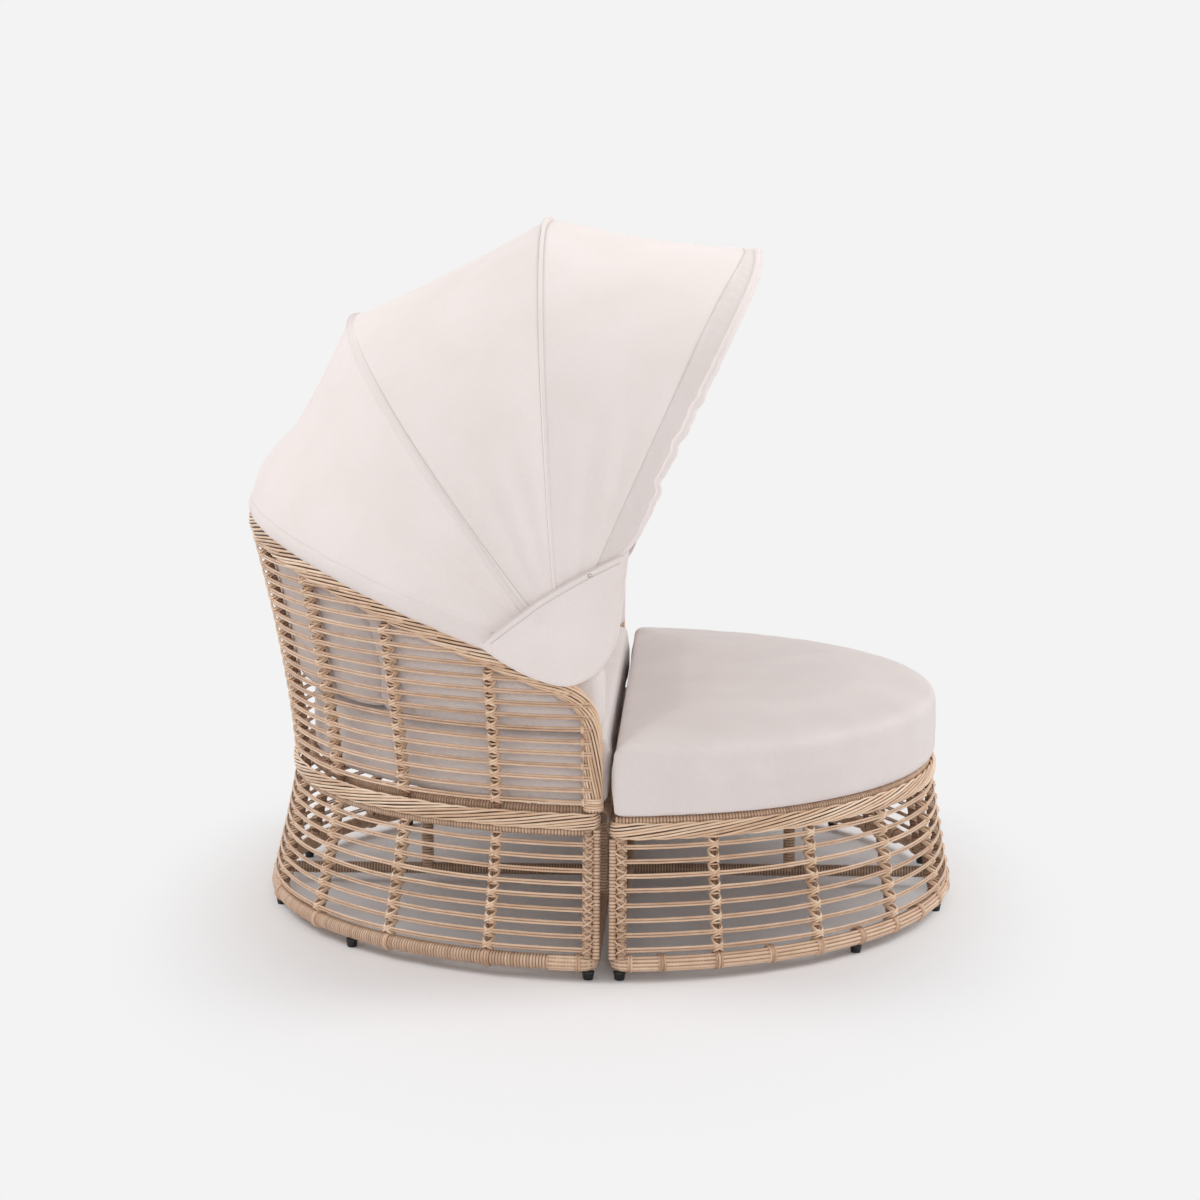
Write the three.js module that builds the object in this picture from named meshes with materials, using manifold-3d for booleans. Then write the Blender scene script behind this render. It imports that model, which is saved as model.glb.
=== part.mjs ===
// Outdoor daybed with a folding canopy, in millimetres, +Z up, front towards -Y.
// Two half-round wicker sections meet on a split line: a sofa with a flared cane back, and a footstool.
// The plan is measured from the middle of the split line, and angles run from the left end of a half.
import * as THREE from "three";
import { mergeVertices } from "three/addons/utils/BufferGeometryUtils.js";
import Module from "manifold-3d";

const wasm = await Module();
wasm.setup();

// Clearances
const seat = 0.3; // between pieces that rest on each other
const caneSeat = 0.5; // between a cane and the stake that it crosses
const halvesGap = 17; // between the two sections

// Plan and outline of the two sections
const ringHalfWidth = 748;
const sofaDepthShare = 1.015;
const footstoolDepthShare = 0.975;
const sofaTaper = 56; // from the floor ring in to the base rim, on each side
const footstoolTaper = 40;
const sofaWaist = ringHalfWidth - sofaTaper;
const footstoolWaist = ringHalfWidth - footstoolTaper;
const backFlare = 89;
const backFlareHeight = 531; // over which the back leans out by its flare
const baseFlarePower = 1.2;
const backFlarePower = 1.5;

// Heights
const footHeight = 17.5;
const ringDiameter = 31;
const sofaRimBottom = 287;
const sofaRimHeight = 35;
const sofaDeckRise = 8; // of the seat ring above the base rim
const sofaDeckHeight = sofaRimBottom + sofaRimHeight + sofaDeckRise;
const footstoolRimBottom = 272;
const footstoolRimHeight = 35;
const footstoolDeckHeight = footstoolRimBottom + footstoolRimHeight;
const lashingHeight = 21; // of the collars on the deck

// Lattice of stakes and canes
const bays = 10;
const stakeDiameter = 22;
const caneDiameter = 8;
const sofaBaseRows = 9;
const sofaFirstRowRise = 12; // above the floor ring
const sofaTopRowDrop = 27; // below the rim, over the rail that carries it
const footstoolRows = 8;
const footstoolFirstRowRise = 13;
const footstoolTopRowDrop = 12.5;
const backRowPitch = 24.8;
const backFirstRowRise = 13; // above the deck
const baseKnots = 3; // stakes bend at these many equal steps below the waist
const backKnots = 5; // and above it
const postWidth = 34;
const postDepth = 10;
const rimBandDepth = 14;

// Braided rim of the arms and the back
const armHeight = 552; // where the arm's slope starts, on the rim's centre line
const backRise = 276; // from there to the middle of the back
const rimDepth = 30;
const armRimWidth = 40;
const backRimWidth = 50;
const armCorner = 75;
const rimStrands = 6;
const strandRelief = 2.2;
const strandLay = 420;

const bandStrands = 4;
const collarSpread = 4; // the lashing at the foot of an arm stands this much proud of the braid

// Frame tubes
const railDiameter = 22;
const chordDiameter = 28;
const seatBars = 4;
const seatBarPitch = 250;
const sofaStretcherDrop = 3; // the sofa's stretcher lies this much below its floor ring
const sofaLegY = 420;
const footstoolLegY = -380;

// Cushions
const cushionThickness = 138; // at the edge, under the crown
const footstoolCushionThickness = 150;
const cushionCrown = 10;
const cushionEdge = 16; // rounding along the seams
const cushionBulge = 5;
const cushionCorner = 28;
const cushionPull = 7; // the straight front pulls in this much between its corners
const cushionGapToArm = 4;
const cushionOverhang = 16.5; // the sofa cushion's front past its frame
const cushionsGap = 5;
const footstoolCushionOverhang = 14; // past the canes below it
const backCushionThickness = 135;
const backCushionRise = 45; // above the rim beside it
const backCushionGap = 14;
const armCushionOverhang = 7; // of the arm cushions' front ends past the split line

// Canopy
const pivotY = 85;
const pivotRise = 85; // above the rim's centre line at the arm
const pivotZ = armHeight + pivotRise;
const bowSteps = 12; // stations along half a bow, which the fabric shares
const bowReach = [742, 776, 826, 850];
const bowAngle = [18.3, 51.4, 85.6, 115.5];
const bowPower = [2, 2, 2.1, 2.6];
const bowDiameter = 16;
const strapThickness = 4;
const strapWidth = 20;
const strapLength = 190;
const strapTaper = 50;
const strapStraight = 30; // the strap stays in its own plane this far from the pivot
const eyeRadius = 14;
const pinDiameter = 10;
const pinHeadDiameter = 20;
const pinHeadThickness = 6;
const pinTail = 8; // the swaged end on the inside of the bracket
const pinTailSpread = 3;
const bracketThickness = 6;
const bracketInset = 11.85; // of the bracket's inner face from the rim's centre line
const bracketFootWidth = 70;
const fabricThickness = 2.5;
const fabricFirstStep = 1; // the panels start at this station of the bows, under the hinge covers
const fabricSag = 14;
const fabricLift = 1.2; // share of a bow's radius that the fabric lies above its centre line
const frontHem = 38; // past the front bow

// Hinge cover about the pivot, as [towards the back, up]: straight along its top and round below
const coverTail = [155, 24];
const coverTip = [-130, 205];
const coverRound = [
  [-126, 112],
  [-111, 34],
  [-77, -20],
  [-38, -48],
  [0, -54],
  [58, -37],
  [115, -6],
];

// Feet
const footTopDiameter = 24;
const footTipDiameter = 20;
const footFlange = 4;
const footAngles = [2.4, 44.5, 74].map(THREE.MathUtils.degToRad);

// Numbers of sides: few on what repeats most
const caneSides = 3;
const stakeSides = 5;
const railSides = 6;
const bowSides = 6;
const ringSides = 8;
const turnedSides = 8;
const pinSides = 10;
const eyeSides = 12;

const radians = THREE.MathUtils.degToRad;
const half = 0.5;

const colours = {
  cane: new THREE.MeshStandardMaterial({ color: 0xc9a57c, roughness: 0.55 }),
  braid: new THREE.MeshStandardMaterial({ color: 0xbf9a70, roughness: 0.6 }),
  frame: new THREE.MeshStandardMaterial({ color: 0x8a6a54, roughness: 0.6 }),
  canopy: new THREE.MeshStandardMaterial({ color: 0xf2e9e6, roughness: 0.9 }),
  cushion: new THREE.MeshStandardMaterial({ color: 0xe2d6d2, roughness: 0.95 }),
  metal: new THREE.MeshStandardMaterial({ color: 0xb9b4ae, roughness: 0.4, metalness: 0.9 }),
  foot: new THREE.MeshStandardMaterial({ color: 0x17171a, roughness: 0.5 }),
};

// Closed bodies from rings of points, and booleans on them

function facingOut(geometry) {
  const p = geometry.getAttribute("position");
  const index = geometry.index.array;
  const [a, b, c] = [new THREE.Vector3(), new THREE.Vector3(), new THREE.Vector3()];
  let volume = 0;
  for (let i = 0; i < index.length; i += 3) {
    a.fromBufferAttribute(p, index[i]);
    b.fromBufferAttribute(p, index[i + 1]);
    c.fromBufferAttribute(p, index[i + 2]);
    volume += a.dot(b.cross(c));
  }
  if (volume < 0) {
    for (let i = 0; i < index.length; i += 3) {
      [index[i + 1], index[i + 2]] = [index[i + 2], index[i + 1]];
    }
  }
  return geometry;
}

// A skin over rings with equal numbers of points, closed at both ends.
function loft(rings) {
  const sides = rings[0].length;
  const points = rings.flat();
  const faces = [];
  for (let r = 0; r + 1 < rings.length; r++) {
    for (let s = 0; s < sides; s++) {
      const a = r * sides + s;
      const b = r * sides + ((s + 1) % sides);
      faces.push(a, b, b + sides, a, b + sides, a + sides);
    }
  }
  const cap = (ring, first, turned) => {
    const middle = ring.reduce((sum, p) => sum.add(p), new THREE.Vector3()).divideScalar(sides);
    const centre = points.push(middle) - 1;
    for (let s = 0; s < sides; s++) {
      const [a, b] = [first + s, first + ((s + 1) % sides)];
      faces.push(centre, turned ? b : a, turned ? a : b);
    }
  };
  cap(rings[0], 0, true);
  cap(rings.at(-1), (rings.length - 1) * sides, false);
  const geometry = new THREE.BufferGeometry().setFromPoints(points);
  geometry.setIndex(faces);
  return facingOut(geometry);
}

// A section drawn along stations { point, out }: section(i) gives [outwards, sideways] pairs.
function sweep(stations, section) {
  const last = stations.length - 1;
  return loft(
    stations.map(({ point, out }, i) => {
      const before = stations[Math.max(i - 1, 0)].point;
      const after = stations[Math.min(i + 1, last)].point;
      const along = new THREE.Vector3().subVectors(after, before).normalize();
      const outwards = out.clone().addScaledVector(along, -out.dot(along)).normalize();
      const sideways = new THREE.Vector3().crossVectors(along, outwards);
      return section(i).map(([u, v]) =>
        point.clone().addScaledVector(outwards, u).addScaledVector(sideways, v),
      );
    }),
  );
}

// Points of an ellipse with a given depth and width, the first one outwards.
function oval(depth, width, sides) {
  return Array.from({ length: sides }, (_, i) => {
    const turn = (i / sides) * 2 * Math.PI;
    return [half * depth * Math.cos(turn), half * width * Math.sin(turn)];
  });
}

function roundBar(stations, diameter, sides) {
  const section = oval(diameter, diameter, sides);
  return sweep(stations, () => section);
}

// An upright member: its section stays level at each station.
function column(stations, outline) {
  return loft(
    stations.map(({ point, out }) => {
      const sideways = new THREE.Vector3(-out.y, out.x, 0);
      return outline.map(([u, v]) =>
        point.clone().addScaledVector(out, u).addScaledVector(sideways, v),
      );
    }),
  );
}

function straight(from, to, out, steps = 1) {
  return Array.from({ length: steps + 1 }, (_, i) => ({
    point: new THREE.Vector3().lerpVectors(from, to, i / steps),
    out,
  }));
}

function toSolid(geometry) {
  const bare = geometry.clone();
  bare.deleteAttribute("normal");
  bare.deleteAttribute("uv");
  const merged = mergeVertices(bare);
  return new wasm.Manifold(
    new wasm.Mesh({
      numProp: 3,
      vertProperties: merged.getAttribute("position").array,
      triVerts: new Uint32Array(merged.index.array),
    }),
  );
}

function toGeometry(solid) {
  const { vertProperties, triVerts } = solid.getMesh();
  const geometry = new THREE.BufferGeometry();
  geometry.setAttribute("position", new THREE.BufferAttribute(vertProperties, 3));
  geometry.setIndex(new THREE.BufferAttribute(triVerts, 1));
  return geometry;
}

const fuse = (parts) => toGeometry(parts.map(toSolid).reduce((whole, part) => whole.add(part)));
const cut = (body, tool) => toGeometry(toSolid(body).subtract(toSolid(tool)));

function piece(name, geometry, material) {
  geometry.computeVertexNormals();
  const mesh = new THREE.Mesh(geometry, material);
  mesh.name = name;
  return mesh;
}

// The two sections

const ringCentre = footHeight + half * ringDiameter;
const ringTop = footHeight + ringDiameter;
const backOf = { side: 1, depthShare: sofaDepthShare, waist: sofaWaist };
const frontOf = { side: -1, depthShare: footstoolDepthShare, waist: footstoolWaist };

// Outer face of the canes as [height, half width], at the heights where the stakes bend
function profileKnots({ side, waist }) {
  const waistHeight = side > 0 ? sofaRimBottom : footstoolRimBottom;
  const knots = [];
  for (let i = baseKnots; i > 0; i--) {
    const drop = i / baseKnots;
    const z = waistHeight - (waistHeight - ringCentre) * drop;
    knots.push([z, waist + (ringHalfWidth - waist) * drop ** baseFlarePower]);
  }
  knots.push([waistHeight, waist]);
  for (let i = 1; i <= backKnots && side > 0; i++) {
    const climb = i / backKnots;
    const z = waistHeight + backFlareHeight * climb;
    knots.push([z, waist + backFlare * climb ** backFlarePower]);
  }
  return knots;
}

backOf.knots = profileKnots(backOf);
frontOf.knots = profileKnots(frontOf);

function halfWidthAt({ knots }, z) {
  if (z <= knots[0][0]) return knots[0][1];
  const above = knots.findIndex(([height]) => height >= z);
  if (above < 0 && knots === frontOf.knots) return knots.at(-1)[1];
  const [[z0, r0], [z1, r1]] = above < 0 ? knots.slice(-2) : [knots[above - 1], knots[above]];
  return r0 + ((r1 - r0) * (z - z0)) / (z1 - z0);
}

// Heights from one to another, with a stop at each bend of the stakes between them.
function bends({ knots }, bottom, top) {
  const between = knots.map(([z]) => z).filter((z) => z > bottom + seat && z < top - seat);
  return [bottom, ...between, top];
}

// The point of a section at an angle and height, this far inside the canes' outer face.
function onShell(section, angle, z, inset = 0) {
  const width = halfWidthAt(section, z);
  return new THREE.Vector3(
    -(width - inset) * Math.cos(angle),
    section.side * (width * section.depthShare - inset) * Math.sin(angle),
    z,
  );
}

const outAt = ({ side }, angle) => new THREE.Vector3(-Math.cos(angle), side * Math.sin(angle), 0);

// The angle at which a line at this height and inset is a distance from the split line.
function angleAt(section, distance, z, inset = 0) {
  return Math.asin(distance / (halfWidthAt(section, z) * section.depthShare - inset));
}

const stakeAngles = Array.from({ length: bays - 1 }, (_, k) => ((k + 1) / bays) * Math.PI);
const halfBay = (half / bays) * Math.PI;
const postOffset = half * (halvesGap + postWidth);

// Angles from one end of an arc to its mirror image, with a vertex at each stake and in each bay.
function arcAngles(section, start) {
  const postAngle = angleAt(section, postOffset, ringTop);
  const inner = [];
  if (start < half * postAngle) inner.push(postAngle);
  for (let step = 1; step * halfBay < half * Math.PI + half * halfBay; step++) {
    if (step * halfBay > start + half * half * halfBay) inner.push(step * halfBay);
  }
  const mirrored = inner.map((a) => Math.PI - a).reverse();
  return [start, ...inner.slice(0, -1), ...mirrored, Math.PI - start];
}

function arcStations(section, z, inset, start) {
  return arcAngles(section, start).map((angle) => ({
    point: onShell(section, angle, z, inset),
    out: outAt(section, angle),
  }));
}

// Floor ring, with its chord along the split line, and the stretcher of the sofa
function floorRing(section, stretcherDrop) {
  const inset = half * ringDiameter;
  const chordY = section.side * half * (halvesGap + chordDiameter);
  const start = angleAt(section, half * halvesGap, ringCentre, inset);
  const ring = roundBar(arcStations(section, ringCentre, inset, start), ringDiameter, ringSides);
  const chordEnd = halfWidthAt(section, ringCentre) - inset;
  const up = new THREE.Vector3(0, 0, 1);
  const chord = roundBar(
    straight(
      new THREE.Vector3(-chordEnd, chordY, ringCentre),
      new THREE.Vector3(chordEnd, chordY, ringCentre),
      up,
    ),
    chordDiameter,
    railSides,
  );
  const stretcherEnd = section.side * (halfWidthAt(section, ringCentre) * section.depthShare - inset);
  const stretcher = roundBar(
    straight(
      new THREE.Vector3(0, chordY, ringCentre - stretcherDrop),
      new THREE.Vector3(0, stretcherEnd, ringCentre - stretcherDrop),
      up,
    ),
    chordDiameter,
    railSides,
  );
  return fuse([ring, chord, stretcher]);
}

// Stakes, seat ring, seat bars and middle leg of a section, welded into one frame
function seatFrame(section, { deckHeight, stakeTop, legY, stretcherDrop }) {
  const parts = [];
  const stakeInset = caneDiameter + caneSeat + half * stakeDiameter;
  const railInset = stakeInset + half * (stakeDiameter + railDiameter) - half * half * railDiameter;
  const railZ = deckHeight - half * railDiameter;
  const postAngle = angleAt(section, postOffset, ringTop);
  for (const angle of [postAngle, ...stakeAngles, Math.PI - postAngle]) {
    const stations = bends(section, ringTop + seat, stakeTop(angle)).map((z) => ({
      point: onShell(section, angle, z, stakeInset),
      out: outAt(section, angle),
    }));
    parts.push(column(stations, oval(stakeDiameter, stakeDiameter, stakeSides)));
  }
  const railStart = angleAt(section, half * (halvesGap + railDiameter), railZ, railInset);
  parts.push(roundBar(arcStations(section, railZ, railInset, railStart), railDiameter, railSides));
  const up = new THREE.Vector3(0, 0, 1);
  const chordY = section.side * half * (halvesGap + railDiameter);
  const chordEnd = onShell(section, railStart, railZ, railInset).x;
  parts.push(
    roundBar(
      straight(
        new THREE.Vector3(chordEnd, chordY, railZ),
        new THREE.Vector3(-chordEnd, chordY, railZ),
        up,
      ),
      railDiameter,
      railSides,
    ),
  );
  const railWidth = halfWidthAt(section, railZ) - railInset;
  for (let i = 0; i <= seatBars; i++) {
    const x = (i - half * seatBars) * seatBarPitch;
    const reach = Math.sqrt(1 - (x / railWidth) ** 2);
    const end = section.side * reach * (halfWidthAt(section, railZ) * section.depthShare - railInset);
    parts.push(
      roundBar(
        straight(new THREE.Vector3(x, chordY, railZ), new THREE.Vector3(x, end, railZ), up),
        railDiameter,
        railSides,
      ),
    );
  }
  const legFoot = ringCentre + half * chordDiameter + seat - stretcherDrop;
  parts.push(
    roundBar(
      straight(
        new THREE.Vector3(0, legY, legFoot),
        new THREE.Vector3(0, legY, railZ),
        new THREE.Vector3(1, 0, 0),
      ),
      chordDiameter,
      railSides,
    ),
  );
  return fuse(parts);
}

// Rows of cane between two woven end posts
function baseCanes(section, rimBottom, { rows, firstRise, topDrop }) {
  const postTop = rimBottom - seat;
  const postBottom = ringTop + seat;
  const parts = [];
  const middle = caneDiameter - half * postDepth;
  for (const right of [false, true]) {
    const stations = bends(section, postBottom, postTop).map((z) => {
      const left = angleAt(section, postOffset, ringTop);
      const angle = right ? Math.PI - left : left;
      return { point: onShell(section, angle, z, middle), out: outAt(section, angle) };
    });
    parts.push(column(stations, oval(postDepth, postWidth, ringSides)));
  }
  const [first, last] = [ringTop + firstRise, rimBottom - topDrop];
  for (let row = 0; row < rows; row++) {
    const z = first + ((last - first) * row) / (rows - 1);
    const start = angleAt(section, postOffset, ringTop);
    parts.push(roundBar(arcStations(section, z, half * caneDiameter, start), caneDiameter, caneSides));
  }
  return fuse(parts);
}

// A section of twisted strands: an oval whose edge rises and falls once for each strand.
function strandSection(depth, width, strands, twist) {
  const sides = 2 * strands;
  return Array.from({ length: sides }, (_, i) => {
    const turn = (i / sides) * 2 * Math.PI;
    const bulge = 1 - (strandRelief / depth) * (1 - Math.cos(strands * turn + twist));
    return [half * depth * bulge * Math.cos(turn), half * width * bulge * Math.sin(turn)];
  });
}

// Braided band that closes the top of a base, outside the stakes
function rimBand(section, bottom, height) {
  const z = bottom + half * height;
  const inset = caneDiameter + caneSeat - half * rimBandDepth - seat;
  const start = angleAt(section, half * halvesGap, z, inset);
  const run = halfWidthAt(section, z) * halfBay;
  return sweep(arcStations(section, z, inset, start), (i) =>
    strandSection(rimBandDepth, height, bandStrands, ((i * run) / strandLay) * 2 * Math.PI),
  );
}

// Centre line of the arm and back rim

const armAngle = angleAt(backOf, postOffset, ringTop);
const rimTopAngle = half * Math.PI;

function rimShare(angle) {
  const folded = Math.min(angle, Math.PI - angle);
  return Math.sin((half * Math.PI * Math.max(folded - armAngle, 0)) / (rimTopAngle - armAngle));
}

const rimHeight = (angle) => armHeight + backRise * rimShare(angle);
const rimWidth = (angle) => armRimWidth + (backRimWidth - armRimWidth) * rimShare(angle);

// The angle at which the rim's centre line passes a height, or the arm post below the slope.
function rimAngleAt(z) {
  const climb = (z - armHeight) / backRise;
  if (climb <= 0) return armAngle;
  return armAngle + (Math.asin(Math.min(climb, 1)) * (rimTopAngle - armAngle)) / (half * Math.PI);
}

// Left half of the rim, from the foot of its arm post to the middle of the back.
function rimStations() {
  const stations = [];
  const add = (angle, z) =>
    stations.push({
      point: onShell(backOf, angle, z, half * rimDepth),
      out: outAt(backOf, angle),
    });
  const cornerAngle = armCorner / sofaWaist;
  const bottom = sofaDeckHeight + seat;
  for (const z of bends(backOf, bottom, armHeight - armCorner).slice(0, -1)) {
    add(armAngle, z);
  }
  const cornerSteps = 5;
  const endAngle = armAngle + cornerAngle;
  for (let i = 0; i <= cornerSteps; i++) {
    const t = i / cornerSteps;
    const [p, q, r] = [(1 - t) ** 2, 2 * t * (1 - t), t ** 2];
    const angle = armAngle * (p + q) + endAngle * r;
    add(angle, (armHeight - armCorner) * p + armHeight * q + rimHeight(endAngle) * r);
  }
  const slopeSteps = 15;
  for (let i = 1; i <= slopeSteps; i++) {
    const angle = endAngle + ((rimTopAngle - endAngle) * i) / slopeSteps;
    add(angle, rimHeight(angle));
  }
  return stations;
}

// The whole rim, mirrored at the middle of the back
function wholeRim() {
  const left = rimStations();
  const right = left
    .slice(0, -1)
    .reverse()
    .map(({ point, out }) => ({
      point: new THREE.Vector3(-point.x, point.y, point.z),
      out: new THREE.Vector3(-out.x, out.y, out.z),
    }));
  return [...left, ...right];
}

function rimSolid(margin) {
  const stations = wholeRim();
  let run = 0;
  const lengths = stations.map(({ point }, i) => {
    if (i) run += point.distanceTo(stations[i - 1].point);
    return run;
  });
  const runs = lengths.map((length) => Math.min(length, run - length));
  const widths = stations.map(({ point }) => {
    const share = Math.max(0, (point.z - armHeight) / backRise);
    return armRimWidth + (backRimWidth - armRimWidth) * share;
  });
  const body = sweep(stations, (i) =>
    strandSection(
      rimDepth + 2 * margin,
      widths[i] + 2 * margin,
      rimStrands,
      (runs[i] / strandLay) * 2 * Math.PI,
    ),
  );
  return levelEnds(body, 2 * rimStrands, stations.length);
}

// Sets the first and last ring of a sweep level with their own middles.
function levelEnds(geometry, ringSize, rings) {
  const p = geometry.getAttribute("position");
  [0, rings - 1].forEach((ring, end) => {
    const z = p.getZ(rings * ringSize + end);
    for (let i = 0; i < ringSize; i++) p.setZ(ring * ringSize + i, z);
  });
  return geometry;
}

// Collar of lashing at the foot of each arm post
function armCollar(right) {
  const angle = right ? Math.PI - armAngle : armAngle;
  const stations = [sofaDeckHeight + seat, sofaDeckHeight + lashingHeight].map((z) => ({
    point: onShell(backOf, angle, z, half * rimDepth),
    out: outAt(backOf, angle),
  }));
  return column(stations, oval(rimDepth + collarSpread, postWidth, eyeSides));
}

// The back: the braided rim, and the canes whose ends it holds
function backWeave() {
  const parts = [rimSolid(0), armCollar(false), armCollar(true)];
  const topRow = armHeight + backRise - half * backRimWidth - half * backRowPitch;
  for (let z = sofaDeckHeight + backFirstRowRise; z < topRow; z += backRowPitch) {
    const stations = arcStations(backOf, z, half * caneDiameter, rimAngleAt(z));
    parts.push(roundBar(stations, caneDiameter, caneSides));
  }
  return fuse(parts);
}

// Stakes of the sofa stop under the braid, and the end ones under the arm post's foot.
function sofaStakeTop(angle) {
  const folded = Math.min(angle, Math.PI - angle);
  if (folded < halfBay) return sofaDeckHeight;
  const slope = Math.abs(rimHeight(folded + halfBay * half) - rimHeight(folded - halfBay * half));
  const reach = halfWidthAt(backOf, rimHeight(folded)) * halfBay;
  const tilt = Math.hypot(slope, reach) / reach;
  const lean = (half * stakeDiameter * slope) / reach;
  return rimHeight(folded) - half * rimWidth(folded) * tilt - lean - seat;
}

// Foot under a floor ring
function foot() {
  const profile = [
    [0, 0],
    [half * footTipDiameter, 0],
    [half * footTopDiameter, footHeight - footFlange - seat],
    [half * footTopDiameter, footHeight - seat],
    [0, footHeight - seat],
  ].map(([r, z]) => new THREE.Vector2(r, z));
  return new THREE.LatheGeometry(profile, turnedSides).rotateX(half * Math.PI);
}

function feet(section, name) {
  const meshes = [];
  const places = [...footAngles, ...footAngles.map((a) => Math.PI - a).reverse()];
  places.forEach((angle, i) => {
    const spot = onShell(section, angle, ringCentre, half * ringDiameter);
    const gap = half * (halvesGap + footTopDiameter);
    const mesh = piece(`${name}_foot_${i + 1}`, foot(), colours.foot);
    mesh.position.set(spot.x, section.side * Math.max(section.side * spot.y, gap), 0);
    meshes.push(mesh);
  });
  return meshes;
}

// Half-round cushion: rings of one outline, drawn in towards the seams and crowned on top
function halfRoundCushion({ width, depth, straightY, side, bottom, thickness }) {
  const around = 36;
  const arcSteps = 24;
  const outline = (inset, z) => {
    const a = width - inset;
    const b = depth - inset;
    const y0 = inset;
    const shape = new THREE.Shape();
    const c = cushionCorner;
    const startAngle = Math.asin((y0 + c) / b);
    shape.moveTo(-a * Math.cos(startAngle), y0 + c);
    for (let i = 1; i <= arcSteps; i++) {
      const t = startAngle + ((Math.PI - 2 * startAngle) * i) / arcSteps;
      shape.lineTo(-a * Math.cos(t), b * Math.sin(t));
    }
    shape.quadraticCurveTo(a * Math.cos(half * startAngle), y0, a - c, y0);
    shape.quadraticCurveTo(0, y0 + 2 * cushionPull, -(a - c), y0);
    shape.quadraticCurveTo(-a * Math.cos(half * startAngle), y0, -a * Math.cos(startAngle), y0 + c);
    return shape
      .getSpacedPoints(around)
      .slice(0, around)
      .map((p) => new THREE.Vector3(p.x, straightY + side * p.y, z));
  };
  const middle = new THREE.Vector3(0, straightY + side * half * depth, 0);
  const crownShares = [
    [0.95, 0.75],
    [0.9, 1],
  ];
  const walls = [
    [cushionEdge, 0],
    [cushionBulge, cushionEdge * half],
    [0, thickness * half],
    [cushionBulge, thickness - cushionEdge * half],
    [cushionEdge, thickness],
  ].map(([inset, z]) => outline(inset, bottom + z));
  const crown = crownShares.map(([size, rise]) =>
    walls.at(-1).map((p) => {
      const spot = p.clone().lerp(middle, 1 - size);
      return spot.setZ(bottom + thickness + cushionCrown * rise);
    }),
  );
  return loft([...walls, ...crown]);
}

// Back cushion: a pillow that follows the curve of the back between two angles
function backCushion(from, to, bottom) {
  const across = 8;
  const up = 8;
  const clearance = caneDiameter + caneSeat + stakeDiameter + cushionGapToArm;
  const seamShare = 0.22; // of the thickness
  const seamPower = 6; // the pillow stays full until close to its seams
  const point = (u, v, face) => {
    const angle = from + (to - from) * u;
    const top = rimHeight(angle) + backCushionRise;
    const z = bottom + (top - bottom) * v;
    const wall = Math.min(z, top - 2 * backCushionRise); // the back leans no further than this
    const fill = ((1 - (2 * u - 1) ** seamPower) * (1 - (2 * v - 1) ** seamPower)) ** half;
    const t = half * backCushionThickness * (seamShare + (1 - seamShare) * fill) * face;
    const inset = clearance + half * backCushionThickness - t;
    return onShell(backOf, angle, wall, inset).setZ(z);
  };
  const rings = [];
  for (let j = 0; j <= up; j++) {
    const v = j / up;
    const ring = [];
    for (let i = 0; i <= across; i++) ring.push(point(i / across, v, 1));
    for (let i = across; i >= 0; i--) ring.push(point(i / across, v, -1));
    rings.push(ring);
  }
  return loft(rings);
}

// Canopy: a folding bow is half an oval from one pivot to the other

// Inner face of the bracket plate, which stands on the rim's centre line at the arm
const bracketX = halfWidthAt(backOf, armHeight) - half * rimDepth - bracketInset;
const strapPitch = strapThickness + seat;
const strapX = (bow) => bracketX + bracketThickness + seat + half * strapThickness + bow * strapPitch;

// The point of a bow at a share of its left half, grown outwards by a margin.
function onBow(bow, share, margin = 0) {
  const turn = share * Math.PI * half;
  const power = 2 / bowPower[bow];
  const x = -(strapX(bow) + margin) * Math.max(Math.cos(turn), 0) ** power;
  const reach = (bowReach[bow] + margin) * Math.max(Math.sin(turn), 0) ** power;
  const angle = radians(bowAngle[bow]);
  return new THREE.Vector3(x, pivotY + reach * Math.cos(angle), pivotZ + reach * Math.sin(angle));
}

const pivotPoint = new THREE.Vector3(0, pivotY, pivotZ);

function bowGeometry(bow) {
  const curve = Array.from({ length: bowSteps + 1 }, (_, i) => onBow(bow, i / bowSteps));
  const eyeCentre = curve[0];
  const strapEnd = curve[1].clone().setX(eyeCentre.x);
  const straightShare = strapStraight / strapEnd.distanceTo(eyeCentre);
  const left = [eyeCentre, eyeCentre.clone().lerp(strapEnd, straightShare), ...curve.slice(1)];
  const right = left.slice(0, -1).reverse();
  const path = [...left, ...right.map((p) => new THREE.Vector3(-p.x, p.y, p.z))];
  const angle = radians(bowAngle[bow]);
  const square = new THREE.Vector3(0, -Math.sin(angle), Math.cos(angle)); // square to the bow's plane
  const bar = sweep(
    path.map((point) => ({ point, out: square })),
    (i) => {
      const p = path[i];
      const reach = Math.hypot(p.y - pivotY, p.z - pivotZ);
      const blend = THREE.MathUtils.smoothstep(reach, strapLength, strapLength + strapTaper);
      const depth = THREE.MathUtils.lerp(strapWidth, bowDiameter, blend);
      const width = THREE.MathUtils.lerp(strapThickness, bowDiameter, blend);
      return oval(depth, width, bowSides);
    },
  );
  const eye = (x) =>
    new THREE.CylinderGeometry(eyeRadius, eyeRadius, strapThickness, eyeSides)
      .rotateZ(half * Math.PI)
      .translate(x, pivotY, pivotZ);
  const x = strapX(bow);
  let body = fuse([bar, eye(-x), eye(x)]);
  for (const hx of [-x, x]) body = cut(body, pinBore(hx, strapThickness));
  return body;
}

// The hole for the pivot pin through a plate of this thickness
function pinBore(x, thickness) {
  const radius = half * pinDiameter + seat;
  return new THREE.CylinderGeometry(radius, radius, 2 * thickness, pinSides)
    .rotateZ(half * Math.PI)
    .translate(x, pivotY, pivotZ);
}

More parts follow.
